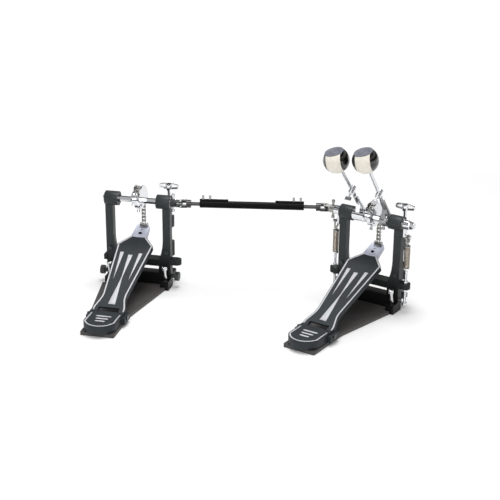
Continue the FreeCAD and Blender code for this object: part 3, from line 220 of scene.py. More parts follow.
# Coats: colour, grain size, contrast, roughness, clouds, bump (strength, distance in metres), and values
# for the shader's own sockets
COATS = {
    "Casting paint": ("casting", 1100.0, 0.22, 0.40, 0.10, (0.18, 0.0002), {"Specular IOR Level": 0.22}),
    "Plate paint": ("plate", 1500.0, 0.16, 0.52, 0.10, (0.12, 0.0002), {}),
    "Slate coat": ("slate", 620.0, 0.40, 0.55, 0.08, (0.50, 0.0003), {"Specular IOR Level": 0.35}),
    "Silver trim": ("silver", 900.0, 0.06, 0.48, 0.08, (0.05, 0.0001), {}),
    "Tube gloss": ("shaft", 1500.0, 0.10, 0.30, 0.06, (0.04, 0.0001), {"Specular IOR Level": 0.06}),
    "Beater cheek": ("cheek", 700.0, 0.20, 0.10, 0.03, (0.03, 0.0001), {"Coat Weight": 0.6}),
    "Beater cap": ("cap", 800.0, 0.06, 0.55, 0.06, (0.06, 0.0001), {}),
    "Beater felt": ("felt", 1500.0, 0.20, 0.95, 0.02, (0.9, 0.0006),
                    {"Sheen Weight": 0.35, "Sheen Roughness": 0.5, "Specular IOR Level": 0.1}),
    "Black oxide": ("oxide", 1500.0, 0.20, 0.26, 0.08, (0.06, 0.0001), {}),
}

# Metals: colour, scratch size, roughness, wear, bump (strength, distance in metres), how metallic
METALS = {
    "Hub metal": ("hub", 1500.0, 0.26, 0.12, (0.06, 0.0001), 1.0),
    "Chrome plate": ("chrome", 1400.0, 0.06, 0.08, (0.05, 0.0001), 1.0),
    "Bare toe metal": ("toe", 1800.0, 0.42, 0.12, (0.10, 0.0001), 0.55),
    "Chain steel": ("steel", 1500.0, 0.20, 0.16, (0.05, 0.0001), 1.0),
    "Spring steel": ("spring", 1800.0, 0.18, 0.12, (0.05, 0.0001), 1.0),
    "Screw set": ("chrome", 1400.0, 0.10, 0.10, (0.05, 0.0001), 1.0),
    "Yoke set": ("chrome", 1400.0, 0.10, 0.10, (0.05, 0.0001), 1.0),
}

# Finishes of the frame's nodes: by the end of the name on both pedals, by the whole name on the drive shaft
PEDAL_FINISH = {
    "Casting paint": ["frame", "hoop_jaw"],
    "Plate paint": ["base_plate"],
    "Slate coat": ["footboard", "heel_plate"],
    "Bare toe metal": ["toe_plate"],
    "Chrome plate": ["clamp_rod", "spur_left", "spur_right", "axle", "cam", "memory_lock", "beater_rod",
                     "spring_crank", "beater_sleeve", "tension_rod"],
    "Chain steel": ["bearings", "chain_lower", "chain_upper", "spring_hook"],
    "Black oxide": ["hinge_pin"],
    "Screw set": ["fasteners"],
    "Hub metal": ["beater_hub", "chain_clip"],
}
SHAFT_FINISH = {
    "Tube gloss": ["shaft_tube"],
    "Black oxide": ["shaft_rod_left", "shaft_rod_right", "joint_cross_right"],
    "Yoke set": ["axle_yoke_left"],
    "Chain steel": ["axle_yoke_right"],
    "Hub metal": ["shaft_set_screws"],
    "Chrome plate": ["joint_cross_left"],
}


class PedalSizes(bpy.types.PropertyGroup):
    """Sizes of the pieces that are made here."""
    trim_width: FloatProperty(name="Border width", description="Width of the silver border lines",
                              default=3.0 * MM, unit="LENGTH")
    trim_height: FloatProperty(name="Trim height", description="How far silver trim stands on its plate",
                               default=0.25 * MM, unit="LENGTH")
    ball_radius: FloatProperty(name="Ball radius", description="Radius of a beater's felt ball",
                               default=26.6 * MM, unit="LENGTH")
    shell_radius: FloatProperty(name="Cheek radius", description="Radius of the cheeks beside the felt",
                                default=27.0 * MM, unit="LENGTH")
    cheek_angle: FloatProperty(name="Cheek angle", description="Angle from the middle of a cheek to its rim",
                               default=math.radians(56.6), subtype="ANGLE")
    coil_radius: FloatProperty(name="Coil radius", description="Radius of the spring's middle line",
                               default=5.6 * MM, unit="LENGTH")
    wire_radius: FloatProperty(name="Wire radius", description="Radius of the spring's wire",
                               default=0.9 * MM, unit="LENGTH")
    coil_pitch: FloatProperty(name="Coil pitch", description="Rise of the spring in one turn",
                              default=2.4 * MM, unit="LENGTH")
    coil_turns: IntProperty(name="Coil turns", description="Turns of the spring", default=18, min=2)
    thread_pitch: FloatProperty(name="Thread pitch", description="Rise of the rods' thread in one turn",
                                default=1.5 * MM, unit="LENGTH")


def colour(name, words, value):
    """Colour property with linear components."""
    return FloatVectorProperty(name=name, description=words, default=value, size=3, min=0.0, max=1.0,
                               subtype="COLOR")


class PedalColours(bpy.types.PropertyGroup):
    """Base colours of the finishes."""
    casting: colour("Casting", "Dark paint of the posts and housings", (0.034, 0.040, 0.042))
    # Black at the foot of the frame is painted shade, blended in towards the foot
    foot: colour("Casting foot", "Black at the foot of the frame", (0.0035, 0.0037, 0.0037))
    plate: colour("Base plate", "Brown-grey paint of the base plates", (0.060, 0.055, 0.053))
    slate: colour("Slate coat", "Speckled coat of the footboards and heel plates", (0.0192, 0.0256, 0.0296))
    silver: colour("Silver trim", "Border lines and wedges on the footboards", (0.60, 0.60, 0.63))
    toe: colour("Bare toe", "Bare metal toe of the footboards", (0.62, 0.645, 0.75))
    chrome: colour("Chrome", "Plated metal", (0.78, 0.79, 0.81))
    steel: colour("Steel", "Chain and hooks", (0.38, 0.375, 0.36))
    spring: colour("Spring wire", "Wire of the springs", (0.58, 0.52, 0.44))
    hub: colour("Hub", "Satin metal of the beater hub", (0.42, 0.42, 0.43))
    shaft: colour("Shaft tube", "Gloss black of the drive tube", (0.004, 0.004, 0.004))
    knob: colour("Knob", "Moulded heads of the side screws", (0.028, 0.031, 0.034))
    felt: colour("Felt", "Felt of the beaters", (0.88, 0.83, 0.74))
    cheek: colour("Cheek", "Smooth dark cheeks of the beaters", (0.006, 0.005, 0.004))
    cap: colour("Cap", "Round cap on top of a beater", (0.145, 0.152, 0.185))
    oxide: colour("Black oxide", "Blackened screws, pins and shaft ends", (0.022, 0.022, 0.023))


def pedal_axes(side):
    """Origin on the floor and the X and Y directions of a pedal, from the axis of its axle."""
    joint = next(j for j in frame["joints"] if j["name"] == side + "_axle_turn")
    x = -np.array(joint["axis"], float)
    x /= np.linalg.norm(x)
    origin = np.array(joint["pos_m"], float)
    origin[2] = 0.0
    return origin, x, np.cross(UP, x)


def surface(name, grids, material, body=None):
    """Mesh from grids of points, each (rows, columns, 3) in metres.

    Neighbouring points of a grid make quads, and columns close round. Points that coincide are merged,
    so a row drawn in to one point is a closed pole.
    """
    points = np.concatenate([grid.reshape(-1, 3) for grid in grids])
    faces = []
    start = 0
    for grid in grids:
        rows, columns = grid.shape[:2]
        index = start + np.arange(rows * columns).reshape(rows, columns)
        beside = np.roll(index, -1, axis=1)
        quads = np.stack([index[:-1], beside[:-1], beside[1:], index[1:]], axis=-1)
        faces.append(quads.reshape(-1, 4))
        start += rows * columns
    mesh = bpy.data.meshes.new(name)
    mesh.from_pydata(points.tolist(), [], np.concatenate(faces).tolist())
    shaped = bmesh.new()
    shaped.from_mesh(mesh)
    bmesh.ops.remove_doubles(shaped, verts=shaped.verts, dist=TINY)
    bmesh.ops.recalc_face_normals(shaped, faces=shaped.faces)
    shaped.to_mesh(mesh)
    shaped.free()
    mesh.polygons.foreach_set("use_smooth", np.ones(len(mesh.polygons), bool))
    mesh.materials.append(material)
    piece = bpy.data.objects.new(name, mesh)
    bpy.context.scene.collection.objects.link(piece)
    if body:
        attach(piece, body)
    return piece


def capped(rows):
    """Grid with its first and last rows drawn in to their middles, which closes both ends."""
    first = np.broadcast_to(rows[:1].mean(axis=1, keepdims=True), rows[:1].shape)
    last = np.broadcast_to(rows[-1:].mean(axis=1, keepdims=True), rows[-1:].shape)
    return np.concatenate([first, rows, last])


def lathe(profile, centre, axis, count):
    """Profile of (radius, height) points turned round an axis: centre + axis * h + r * (cos a, sin a)."""
    axis = np.array(axis, float) / np.linalg.norm(axis)
    side = np.cross(axis, [1.0, 0.0, 0.0] if abs(axis[0]) < 0.9 else [0.0, 1.0, 0.0])
    side /= np.linalg.norm(side)
    other = np.cross(axis, side)
    angle = np.linspace(0.0, 2 * np.pi, count, endpoint=False)
    ring = np.cos(angle)[:, None] * side + np.sin(angle)[:, None] * other
    radius, height = np.array(profile, float).T
    return np.array(centre) + height[:, None, None] * axis + radius[:, None, None] * ring[None]


def strip(path, across, normal, half, height):
    """Flat strip with sloping edges carried along a path.

    The section is a low trapezium in the directions across and normal; half is half its width, row by row.
    """
    half = np.asarray(half)[:, None]
    slope = np.minimum(half * 0.5, height)
    foot = [path - across * half, path + across * half]
    top = [path + across * (half - slope) + normal * height, path - across * (half - slope) + normal * height]
    sunk = [foot[0] - normal * height, foot[1] - normal * height]
    return capped(np.stack([sunk[0], sunk[1], foot[1], top[0], top[1], foot[0]], axis=1))


def rounded_path(corners, steps=10):
    """Open line through (x, y, radius) corners: straight runs, each corner an arc about its own centre."""
    corners = np.array(corners, float)
    runs = [corners[:1, :2]]
    for back, here, ahead in zip(corners, corners[1:], corners[2:]):
        to_back = (back - here)[:2] / np.linalg.norm((back - here)[:2])
        to_ahead = (ahead - here)[:2] / np.linalg.norm((ahead - here)[:2])
        half = math.acos(np.clip(to_back @ to_ahead, -1.0, 1.0)) / 2
        middle = (to_back + to_ahead) / np.linalg.norm(to_back + to_ahead)
        centre = here[:2] + middle * here[2] / math.sin(half)
        turn = np.linspace(half - math.pi / 2, math.pi / 2 - half, steps)[:, None]
        tangent = (to_ahead - to_back) / np.linalg.norm(to_ahead - to_back)
        runs.append(centre + here[2] * (tangent * np.sin(turn) - middle * np.cos(turn)))
    runs.append(corners[-1:, :2])
    return np.concatenate(runs)


def inset_line(line, inset):
    """Line moved to its left by an inset, each point square to the line there, and those side directions."""
    along = np.gradient(line, axis=0)
    along /= np.linalg.norm(along, axis=1, keepdims=True)
    left = np.stack([-along[:, 1], along[:, 0]], axis=1)
    return line + left * inset, left


def on_board(side, flat):
    """Points (x, along, above) of the flat footboard, in millimetres, on its slope in the pedal's place."""
    origin, x, y = pedal_axes(side)
    rise = y * math.cos(BOARD_RISE) + UP * math.sin(BOARD_RISE)
    normal = UP * math.cos(BOARD_RISE) - y * math.sin(BOARD_RISE)
    start = origin + (y * HINGE_Y + UP * HINGE_TOP) * MM
    return start + flat[..., :1] * MM * x + flat[..., 1:2] * MM * rise + flat[..., 2:3] * MM * normal


def on_heel(side, flat):
    """Points (x, behind the hinge, above) on the heel plate's level top, in the pedal's place."""
    origin, x, y = pedal_axes(side)
    start = origin + (y * HINGE_Y + UP * HINGE_TOP) * MM
    return start + flat[..., :1] * MM * x + flat[..., 1:2] * MM * y + flat[..., 2:3] * MM * UP


def add(tree, kind, inputs=None, **settings):
    """New node with its settings, and its inputs set to values or linked to sockets."""
    node = tree.nodes.new(kind)
    for key, value in settings.items():
        setattr(node, key, value)
    for key, value in (inputs or {}).items():
        if isinstance(value, bpy.types.NodeSocket):
            tree.links.new(value, node.inputs[key])
        else:
            node.inputs[key].default_value = value
    return node


def new_group(name, inputs, outputs):
    """Empty shader node group with named sockets, and its input and output nodes."""
    group = bpy.data.node_groups.new(name, "ShaderNodeTree")
    for words, kind, value in inputs:
        socket = group.interface.new_socket(words, in_out="INPUT", socket_type=kind)
        if value is not None:
            socket.default_value = value
    for words, kind in outputs:
        group.interface.new_socket(words, in_out="OUTPUT", socket_type=kind)
    return group, add(group, "NodeGroupInput"), add(group, "NodeGroupOutput")


def math_node(tree, operation, first, second=0.0, clamp=False):
    return add(tree, "ShaderNodeMath", {0: first, 1: second}, operation=operation, use_clamp=clamp).outputs[0]


def spread(tree, value, low, high):
    """Value from 0 to 1 mapped onto low to high."""
    return add(tree, "ShaderNodeMapRange", {"Value": value, "To Min": low, "To Max": high}).outputs["Result"]


def noise(tree, where, scale, detail, roughness=0.5):
    """Grey noise at a place."""
    inputs = {"Vector": where, "Scale": scale, "Detail": detail, "Roughness": roughness}
    return add(tree, "ShaderNodeTexNoise", inputs).outputs["Fac"]


def scaled(tree, shade, factor):
    """Colour times a factor."""
    return add(tree, "ShaderNodeVectorMath", {0: shade, "Scale": factor}, operation="SCALE").outputs["Vector"]


def coat_group():
    """Paint or coat: fine grains lighten and darken the colour, broad clouds change the gloss."""
    if "Coat grain" in bpy.data.node_groups:
        return bpy.data.node_groups["Coat grain"]
    group, given, result = new_group(
        "Coat grain",
        [("Vector", "NodeSocketVector", None), ("Colour", "NodeSocketColor", (0.5, 0.5, 0.5, 1.0)),
         ("Grain size", "NodeSocketFloat", 900.0), ("Contrast", "NodeSocketFloat", 0.3),
         ("Roughness", "NodeSocketFloat", 0.5), ("Cloud", "NodeSocketFloat", 0.1)],
        [("Colour", "NodeSocketColor"), ("Roughness", "NodeSocketFloat"), ("Height", "NodeSocketFloat")])
    where = given.outputs["Vector"]
    fine = noise(group, where, given.outputs["Grain size"], 3.0, 0.6)
    broad = noise(group, where, COAT_CLOUDS, 4.0)
    centred = math_node(group, "SUBTRACT", fine, 0.5)
    swing = math_node(group, "MULTIPLY", centred, given.outputs["Contrast"])
    factor = math_node(group, "ADD", math_node(group, "MULTIPLY", swing, COAT_GAIN), 1.0)
    cloudy = math_node(group, "MULTIPLY", math_node(group, "SUBTRACT", broad, 0.5), given.outputs["Cloud"])
    strong = math_node(group, "MULTIPLY", cloudy, CLOUD_GAIN)
    rough = math_node(group, "ADD", given.outputs["Roughness"], strong, True)
    group.links.new(scaled(group, given.outputs["Colour"], factor), result.inputs["Colour"])
    group.links.new(rough, result.inputs["Roughness"])
    group.links.new(fine, result.inputs["Height"])
    return group


def metal_group():
    """Bare or plated metal: broad clouds in the gloss, and fine scratches along the given vector's Z."""
    if "Metal wear" in bpy.data.node_groups:
        return bpy.data.node_groups["Metal wear"]
    group, given, result = new_group(
        "Metal wear",
        [("Vector", "NodeSocketVector", None), ("Colour", "NodeSocketColor", (0.5, 0.5, 0.5, 1.0)),
         ("Scratch size", "NodeSocketFloat", 1400.0), ("Roughness", "NodeSocketFloat", 0.15),
         ("Wear", "NodeSocketFloat", 0.1)],
        [("Colour", "NodeSocketColor"), ("Roughness", "NodeSocketFloat"), ("Height", "NodeSocketFloat")])
    long_way = add(group, "ShaderNodeVectorMath", {0: given.outputs["Vector"], 1: SCRATCH_WAY},
                   operation="MULTIPLY").outputs["Vector"]
    scratch = noise(group, long_way, given.outputs["Scratch size"], 2.0)
    cloud = noise(group, given.outputs["Vector"], METAL_CLOUDS, 5.0)
    both = math_node(group, "MULTIPLY", math_node(group, "ADD", scratch, cloud), given.outputs["Wear"])
    rough = math_node(group, "ADD", given.outputs["Roughness"], both, True)
    dull = math_node(group, "SUBTRACT", 1.0, math_node(group, "MULTIPLY", both, WEAR_DARK))
    group.links.new(scaled(group, given.outputs["Colour"], dull), result.inputs["Colour"])
    group.links.new(rough, result.inputs["Roughness"])
    group.links.new(scratch, result.inputs["Height"])
    return group


def finish(name, group, values, bump, sockets):
    """Makes a material whose colour, gloss and height come from a group on Object coordinates."""
    material = bpy.data.materials.new(name)
    material.use_nodes = True
    tree = material.node_tree
    tree.nodes.clear()
    pattern = add(tree, "ShaderNodeGroup", node_tree=group)
    tree.links.new(add(tree, "ShaderNodeTexCoord").outputs["Object"], pattern.inputs["Vector"])
    for key, value in values.items():
        pattern.inputs[key].default_value = value
    strength, distance = bump
    raised = add(tree, "ShaderNodeBump", {"Height": pattern.outputs["Height"], "Strength": strength,
                                          "Distance": distance})
    shader = add(tree, "ShaderNodeBsdfPrincipled", {"Base Color": pattern.outputs["Colour"],
                                                    "Roughness": pattern.outputs["Roughness"],
                                                    "Normal": raised.outputs["Normal"], **sockets})
    add(tree, "ShaderNodeOutputMaterial", {"Surface": shader.outputs["BSDF"]})


def rgba(value):
    return (*value, 1.0)


def coat(name, value, size, contrast, roughness, cloud, bump, sockets):
    values = {"Colour": rgba(value), "Grain size": size, "Contrast": contrast, "Roughness": roughness,
              "Cloud": cloud}
    finish(name, coat_group(), values, bump, sockets)


def metal(name, value, size, roughness, wear, bump, metallic):
    values = {"Colour": rgba(value), "Scratch size": size, "Roughness": roughness, "Wear": wear}
    finish(name, metal_group(), values, bump, {"Metallic": metallic})


def finishes():
    """Each finish by name, made once."""
    made = bpy.data.materials
    if "Chrome plate" not in made:
        tints = bpy.context.scene.pedal_colours
        for name, (tint, *values) in COATS.items():
            coat(name, getattr(tints, tint), *values)
        for name, (tint, *values) in METALS.items():
            metal(name, getattr(tints, tint), *values)
        # Painted shade: the frame's paint turns black towards its foot
        paint_foot_shade(made["Casting paint"])
        part_plate(made["Screw set"], beside_main_posts)
        part_plate(made["Yoke set"], off_the_yoke)
    return made


def node_of(tree, kind):
    return next(node for node in tree.nodes if node.type == kind)


def place_in(tree):
    """X, Y and Z of Object coordinates."""
    where = add(tree, "ShaderNodeTexCoord").outputs["Object"]
    return add(tree, "ShaderNodeSeparateXYZ", {"Vector": where}).outputs


def paint_foot_shade(material):
    """Satin paint of the frame turned from dark slate on posts and housings to black towards the foot, which
    is painted shade.
    """
    tints = bpy.context.scene.pedal_colours
    tree = material.node_tree
    # Painted shade: black blended in below, by height in the object
    low, high = FOOT_SHADE_FADE
    raised = add(tree, "ShaderNodeMapRange", {"Value": place_in(tree)["Z"], "From Min": low * MM,
                                              "From Max": high * MM}, interpolation_type="SMOOTHSTEP")
    mixed = add(tree, "ShaderNodeMix", {"Factor": raised.outputs["Result"], "A": rgba(tints.foot),
                                        "B": rgba(tints.casting)}, data_type="RGBA")
    tree.links.new(mixed.outputs["Result"], node_of(tree, "GROUP").inputs["Colour"])


def part_plate(material, mask):
    """Plated metal made black and duller where the mask of the place in the object is 0."""
    tree = material.node_tree
    shader = node_of(tree, "BSDF_PRINCIPLED")
    plated = mask(tree, place_in(tree))
    bright = shader.inputs["Base Color"].links[0].from_socket
    dark = rgba(bpy.context.scene.pedal_colours.knob)
    mixed = add(tree, "ShaderNodeMix", {"Factor": plated, "A": dark, "B": bright}, data_type="RGBA")
    tree.links.new(mixed.outputs["Result"], shader.inputs["Base Color"])
    tree.links.new(plated, shader.inputs["Metallic"])
    gloss = shader.inputs["Roughness"].links[0].from_socket
    dulled = math_node(tree, "ADD", gloss, spread(tree, plated, OXIDE_ROUGH, 0.0))
    tree.links.new(dulled, shader.inputs["Roughness"])


def beside_main_posts(tree, place):
    """Mask of what stands out from the sides of the main pedal's posts."""
    beside = math_node(tree, "GREATER_THAN", math_node(tree, "ABSOLUTE", place["X"]), POST_OUT * MM)
    on_main = math_node(tree, "GREATER_THAN", place["X"], -SCREW_SPLIT * MM)
    return math_node(tree, "MULTIPLY", beside, on_main)


def off_the_yoke(tree, place):
    """Mask of what stands out above and below a yoke on the axle's line."""
    height = math_node(tree, "ABSOLUTE", math_node(tree, "SUBTRACT", place["Z"], AXLE_Z * MM))
    return math_node(tree, "GREATER_THAN", height, YOKE_OUT * MM)


def soft_edge(node, width):
    """Rounds a CAD node's edges in its modifiers: its loose faces are welded, then bevelled."""
    node.modifiers.new("Weld", "WELD").merge_threshold = WELD_REACH
    bevel = node.modifiers.new("Soft edge", "BEVEL")
    bevel.width = width * MM
    bevel.segments = EDGE_SEGMENTS
    bevel.limit_method = "ANGLE"
    bevel.angle_limit = EDGE_ANGLE
    bevel.harden_normals = True


class PEDAL_OT_finishes(bpy.types.Operator):
    """Gives every node of the frame its finish and its softened edges"""
    bl_idname = "pedal.finishes"
    bl_label = "Finishes"

    def execute(self, context):
        made = finishes()
        for name, endings in PEDAL_FINISH.items():
            for ending in endings:
                for side in SIDES:
                    node = frame["nodes"].get(f"{side}_{ending}")
                    if node:
                        node.material_slots[0].material = made[name]
                        if ending in SOFT_EDGES:
                            soft_edge(node, SOFT_EDGES[ending])
        for name, nodes in SHAFT_FINISH.items():
            for node in nodes:
                frame["nodes"][node].material_slots[0].material = made[name]
        return {"FINISHED"}


class PEDAL_OT_board_trim(bpy.types.Operator):
    """Lays the silver border lines and the three wedges on both footboards"""
    bl_idname = "pedal.board_trim"
    bl_label = "Footboard trim"

    def execute(self, context):
        size = context.scene.pedal_sizes
        height = size.trim_height / MM
        half = size.trim_width / MM / 2
        for side in SIDES:
            grids = []
            outline = rounded_path(BOARD_SIDE + [BORDER_TOP])
            line, left = inset_line(outline, half + BORDER_INSET)
            line[0, 1], line[-1, 1] = BORDER_ENDS
            for mirror in (1.0, -1.0):
                path = np.column_stack([line[:, 0] * mirror, line[:, 1], np.zeros(len(line))])
                across = np.column_stack([left[:, 0] * mirror, left[:, 1], np.zeros(len(line))])
                grids.append(strip(path, across, UP, np.full(len(line), half), height))
            for path, widths in wedges():
                across = np.tile([1.0, 0.0, 0.0], (len(path), 1))
                grids.append(strip(path, across, UP, widths, height))
            laid = [on_board(side, grid) for grid in grids]
            piece = surface(side + "_footboard_trim", laid, finishes()["Silver trim"], side + "_treadle")
        return {"FINISHED"}


def wedges():
    """Three tapered wedges: each a straight middle line along the board and half widths along it.

    The outer two widen evenly from a point to a broad upper end. The middle one is broad at both ends
    and thin between them.
    """
    rows = np.linspace(0.0, 1.0, WEDGE_ROWS)
    level = np.zeros(WEDGE_ROWS)
    start, run = OUTER_RUN
    point, growth = OUTER_HALF
    result = []
    for foot_x, top_x in OUTER_WEDGES:
        path = np.column_stack([foot_x + (top_x - foot_x) * rows, start + run * rows, level])
        result.append((path, point + growth * rows))
    foot_x, top_x = MIDDLE_WEDGE
    start, run = MIDDLE_RUN
    thin, foot_half, top_half = MIDDLE_HALF
    foot_ends, top_starts = MIDDLE_WAIST
    path = np.column_stack([foot_x + (top_x - foot_x) * rows, start + run * rows, level])
    lower = foot_half * np.clip(1.0 - rows / foot_ends, 0.0, 1.0)
    upper = top_half * np.clip((rows - top_starts) / (1.0 - top_starts), 0.0, 1.0)
    result.append((path, thin + lower + upper))
    return result


class PEDAL_OT_toe_pocket_shade(bpy.types.Operator):
    """Fills the square and the round pocket of both toes with dark pads, which are painted shade in the holes
    """
    bl_idname = "pedal.toe_pockets"
    bl_label = "Toe pockets"

    def execute(self, context):
        for side in SIDES:
            middle, width = TOE_SQUARE
            half = width / 2 - SHADE_PAD_GAP
            rows = np.linspace(-half, half, SHADE_PAD_ROWS)
            path = np.column_stack([np.zeros(SHADE_PAD_ROWS), middle + rows, np.full(SHADE_PAD_ROWS, -TOE_SINK)])
            across = np.tile([1.0, 0.0, 0.0], (SHADE_PAD_ROWS, 1))
            square = strip(path, across, UP, np.full(SHADE_PAD_ROWS, half), SHADE_PAD_T)
            middle, radius = TOE_DOT
            reach = radius - SHADE_PAD_GAP
            low, shoulder, high = DOT_HEIGHTS
            profile = [(0.0, low), (reach, low), (reach, shoulder), (reach - DOT_RIM, high), (0.0, high)]
            dot = lathe(profile, (0.0, middle, -TOE_SINK), UP, count=24)
            laid = [on_board(side, square), on_board(side, dot)]
            # The pads are painted shade: dark sheets in the toe's holes
            piece = surface(side + "_toe_pockets", laid, finishes()["Tube gloss"], side + "_treadle")
        return {"FINISHED"}


class PEDAL_OT_heel_trim(bpy.types.Operator):
    """Lays a border line and three plain bars on both heel plates"""
    bl_idname = "pedal.heel_trim"
    bl_label = "Heel trim"

    def execute(self, context):
        size = context.scene.pedal_sizes
        height = size.trim_height / MM
        half = size.trim_width / MM / 2
        inset = half + HEEL_INSET
        for side in SIDES:
            sag = HEEL_END - HEEL_CORNER
            radius = (HEEL_HALF ** 2 + sag ** 2) / (2 * sag)
            reach = math.asin(HEEL_HALF / radius) * HEEL_ARC
            turn = np.linspace(-reach, reach, HEEL_ROWS)
            round_end = np.column_stack([(radius - inset) * np.sin(turn),
                                         -HEEL_END + radius - (radius - inset) * np.cos(turn)])
            side_x = HEEL_HALF - inset
            ends = np.array([[side_x, HEEL_START]])
            line = np.concatenate([ends * [-1, 1], round_end, ends])
            line[1, 0], line[-2, 0] = -side_x, side_x
            path, left = inset_line(line, 0.0)
            flat = np.zeros(len(path))
            grids = [strip(np.column_stack([path, flat]), np.column_stack([left, flat]), UP,
                           np.full(len(path), half), height)]
            for row, reach_x in HEEL_BARS:
                bar = np.linspace(-reach_x, reach_x, BAR_ROWS)
                rounding = np.sqrt(np.clip(1.0 - (bar / reach_x) ** 8, 0.02, 1.0))
                path = np.column_stack([bar, np.full(BAR_ROWS, row), np.zeros(BAR_ROWS)])
                across = np.tile([0.0, 1.0, 0.0], (BAR_ROWS, 1))
                grids.append(strip(path, across, UP, BAR_HALF * rounding, height))
            laid = [on_heel(side, grid) for grid in grids]
            piece = surface(side + "_heel_trim", laid, finishes()["Silver trim"], side + "_stand")
        return {"FINISHED"}


def beater_axes(side):
    """Ball's middle in metres, and the directions along the rod, across it and of the flat top."""
    lean = math.radians(LEANS[side])
    top_lean, roll = math.radians(HEAD_LEAN), math.radians(HEAD_ROLL)
    along = np.array([0.0, -math.sin(lean), math.cos(lean)])
    across = np.array([0.0, math.cos(lean), math.sin(lean)])
    upright = math.cos(roll)
    top = np.array([-math.sin(roll), -math.sin(top_lean) * upright, math.cos(top_lean) * upright])
    foot = np.array([BEATER_X[side], 0.0, AXLE_Z]) + across * ROD_OFFSET
    return (foot + along * BALL_AT) * MM, along, across, top


def ball_points(side, polar, azimuth, radius):
    """Points of the flat-topped ball at angles about the rod: the radius, cut short where the top is flat."""
    centre, along, across, top = beater_axes(side)
    away = (np.sin(polar) * np.cos(azimuth))[..., None] * np.array([1.0, 0.0, 0.0])
    away = away + (np.sin(polar) * np.sin(azimuth))[..., None] * across + np.cos(polar)[..., None] * along
    facing = np.maximum(away @ top, TINY)
    reach = np.minimum(radius, BALL_FLAT * MM / facing)
    return centre + away * reach[..., None]


class PEDAL_OT_beater_heads(bpy.types.Operator):
    """Makes both beater heads: felt ball with slight waves in its radius, smooth cheeks and round cap"""
    bl_idname = "pedal.beater_heads"
    bl_label = "Beater heads"

    def execute(self, context):
        size = context.scene.pedal_sizes
        made = finishes()
        for side in SIDES:
            down = np.linspace(0.0, math.pi, BALL_ROWS)
            around = np.linspace(0.0, 2 * math.pi, BALL_COLUMNS, endpoint=False)
            polar, azimuth = np.meshgrid(down, around, indexing="ij")
            tufts = TUFT * MM * np.sin(9 * azimuth + 4 * polar) * np.sin(11 * polar) * np.sin(polar)
            ball = ball_points(side, polar, azimuth, size.ball_radius + tufts)
            felt = surface(side + "_beater_felt", [ball], made["Beater felt"], side + "_beater")
            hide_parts(side + "_beater_head")
            cheeks = [cheek_grid(side, size, way) for way in (1.0, -1.0)]
            shell = surface(side + "_beater_cheeks", cheeks, made["Beater cheek"], side + "_beater")
            centre, *_, top = beater_axes(side)
            disc = lathe(cap_profile(), centre, top, count=96)
            cap = surface(side + "_beater_cap", [disc], made["Beater cap"], side + "_beater")
        return {"FINISHED"}


def cheek_grid(side, size, way):
    """Round shell on one side of the ball, cut off at the flat top, with its rim sunk in the felt.

    Rows run from the shell's middle over its outer face to the rim, and back under it.
    """
    centre, along, across, top = beater_axes(side)
    twist = math.radians(CHEEK_TWIST)
    outward = way * (math.cos(twist) * np.array([1.0, 0.0, 0.0]) + math.sin(twist) * across)
    turn = np.linspace(0.0, 2 * math.pi, CHEEK_COLUMNS, endpoint=False)
    around = np.cos(turn)[:, None] * along + np.sin(turn)[:, None] * np.cross(outward, along)
    angle = np.linspace(0.0, size.cheek_angle, CHEEK_ROWS)
    bow = np.sqrt(1.0 - (angle / size.cheek_angle) ** 16)
    rim = size.ball_radius - CHEEK_RIM * MM
    under = np.full(CHEEK_ROWS, size.ball_radius - CHEEK_SINK * MM)
    radius = np.concatenate([rim + (size.shell_radius - rim) * bow, under])
    lift = np.repeat([CHEEK_PROUD, -CHEEK_SINK], CHEEK_ROWS)
    angle = np.concatenate([angle, angle[::-1]])
    away = np.cos(angle)[:, None, None] * outward + np.sin(angle)[:, None, None] * around[None]
    facing = np.maximum(away @ top, TINY)
    reach = np.minimum(radius[:, None], (BALL_FLAT + lift[:, None]) * MM / facing)
    return centre + away * reach[..., None]


def cap_profile():
    """Disc with a rounded rim, a ring groove and a dimple in its middle, as (radius, height) in metres."""
    low, high = BALL_FLAT - DISC_SINK, BALL_FLAT + DISC_T
    inner, outer = GROOVE
    groove, dimple = high - GROOVE_DEEP, high - DIMPLE_DEEP
    rim = [(0.0, low), (DISC_R, low), (DISC_R, high - 0.6), (DISC_R - 0.2, high - 0.2), (DISC_R - 0.7, high)]
    ring = [(outer, high), (outer - 0.4, groove), (inner + 0.4, groove), (inner, high)]
    middle = [(DIMPLE_R, high), (DIMPLE_R - 0.3, dimple), (0.0, dimple)]
    return np.array(rim + ring + middle) * MM


class PEDAL_OT_springs(bpy.types.Operator):
    """Winds both springs, a round wire along a helix, which stretch between the stand and their hooks"""
    bl_idname = "pedal.springs"
    bl_label = "Springs"

    def execute(self, context):
        size = context.scene.pedal_sizes
        for side in SIDES:
            hand = 1.0 if side == "main" else -1.0
            foot = np.array([SPRING_X[side], 0.0, COIL_FOOT]) * MM
            turns = size.coil_turns
            angle = np.linspace(0.0, 2 * math.pi * turns, turns * COIL_STEPS + 1)
            path = np.column_stack([hand * size.coil_radius * np.cos(angle), size.coil_radius * np.sin(angle),
                                    size.coil_pitch * angle / (2 * math.pi)])
            out = np.column_stack([hand * np.cos(angle), np.sin(angle), np.zeros(len(angle))])
            along = np.gradient(path, axis=0)
            along /= np.linalg.norm(along, axis=1, keepdims=True)
            other = np.cross(along, out)
            around = np.linspace(0.0, 2 * math.pi, WIRE_SIDES, endpoint=False)
            cosine, sine = np.cos(around)[None, :, None], np.sin(around)[None, :, None]
            ring = cosine * out[:, None] + sine * other[:, None]
            wire = foot + path[:, None] + size.wire_radius * ring
            piece = surface(side + "_spring_coil", [capped(wire)], finishes()["Spring steel"])
            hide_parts(side + "_spring")
            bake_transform(piece)
        return {"FINISHED"}


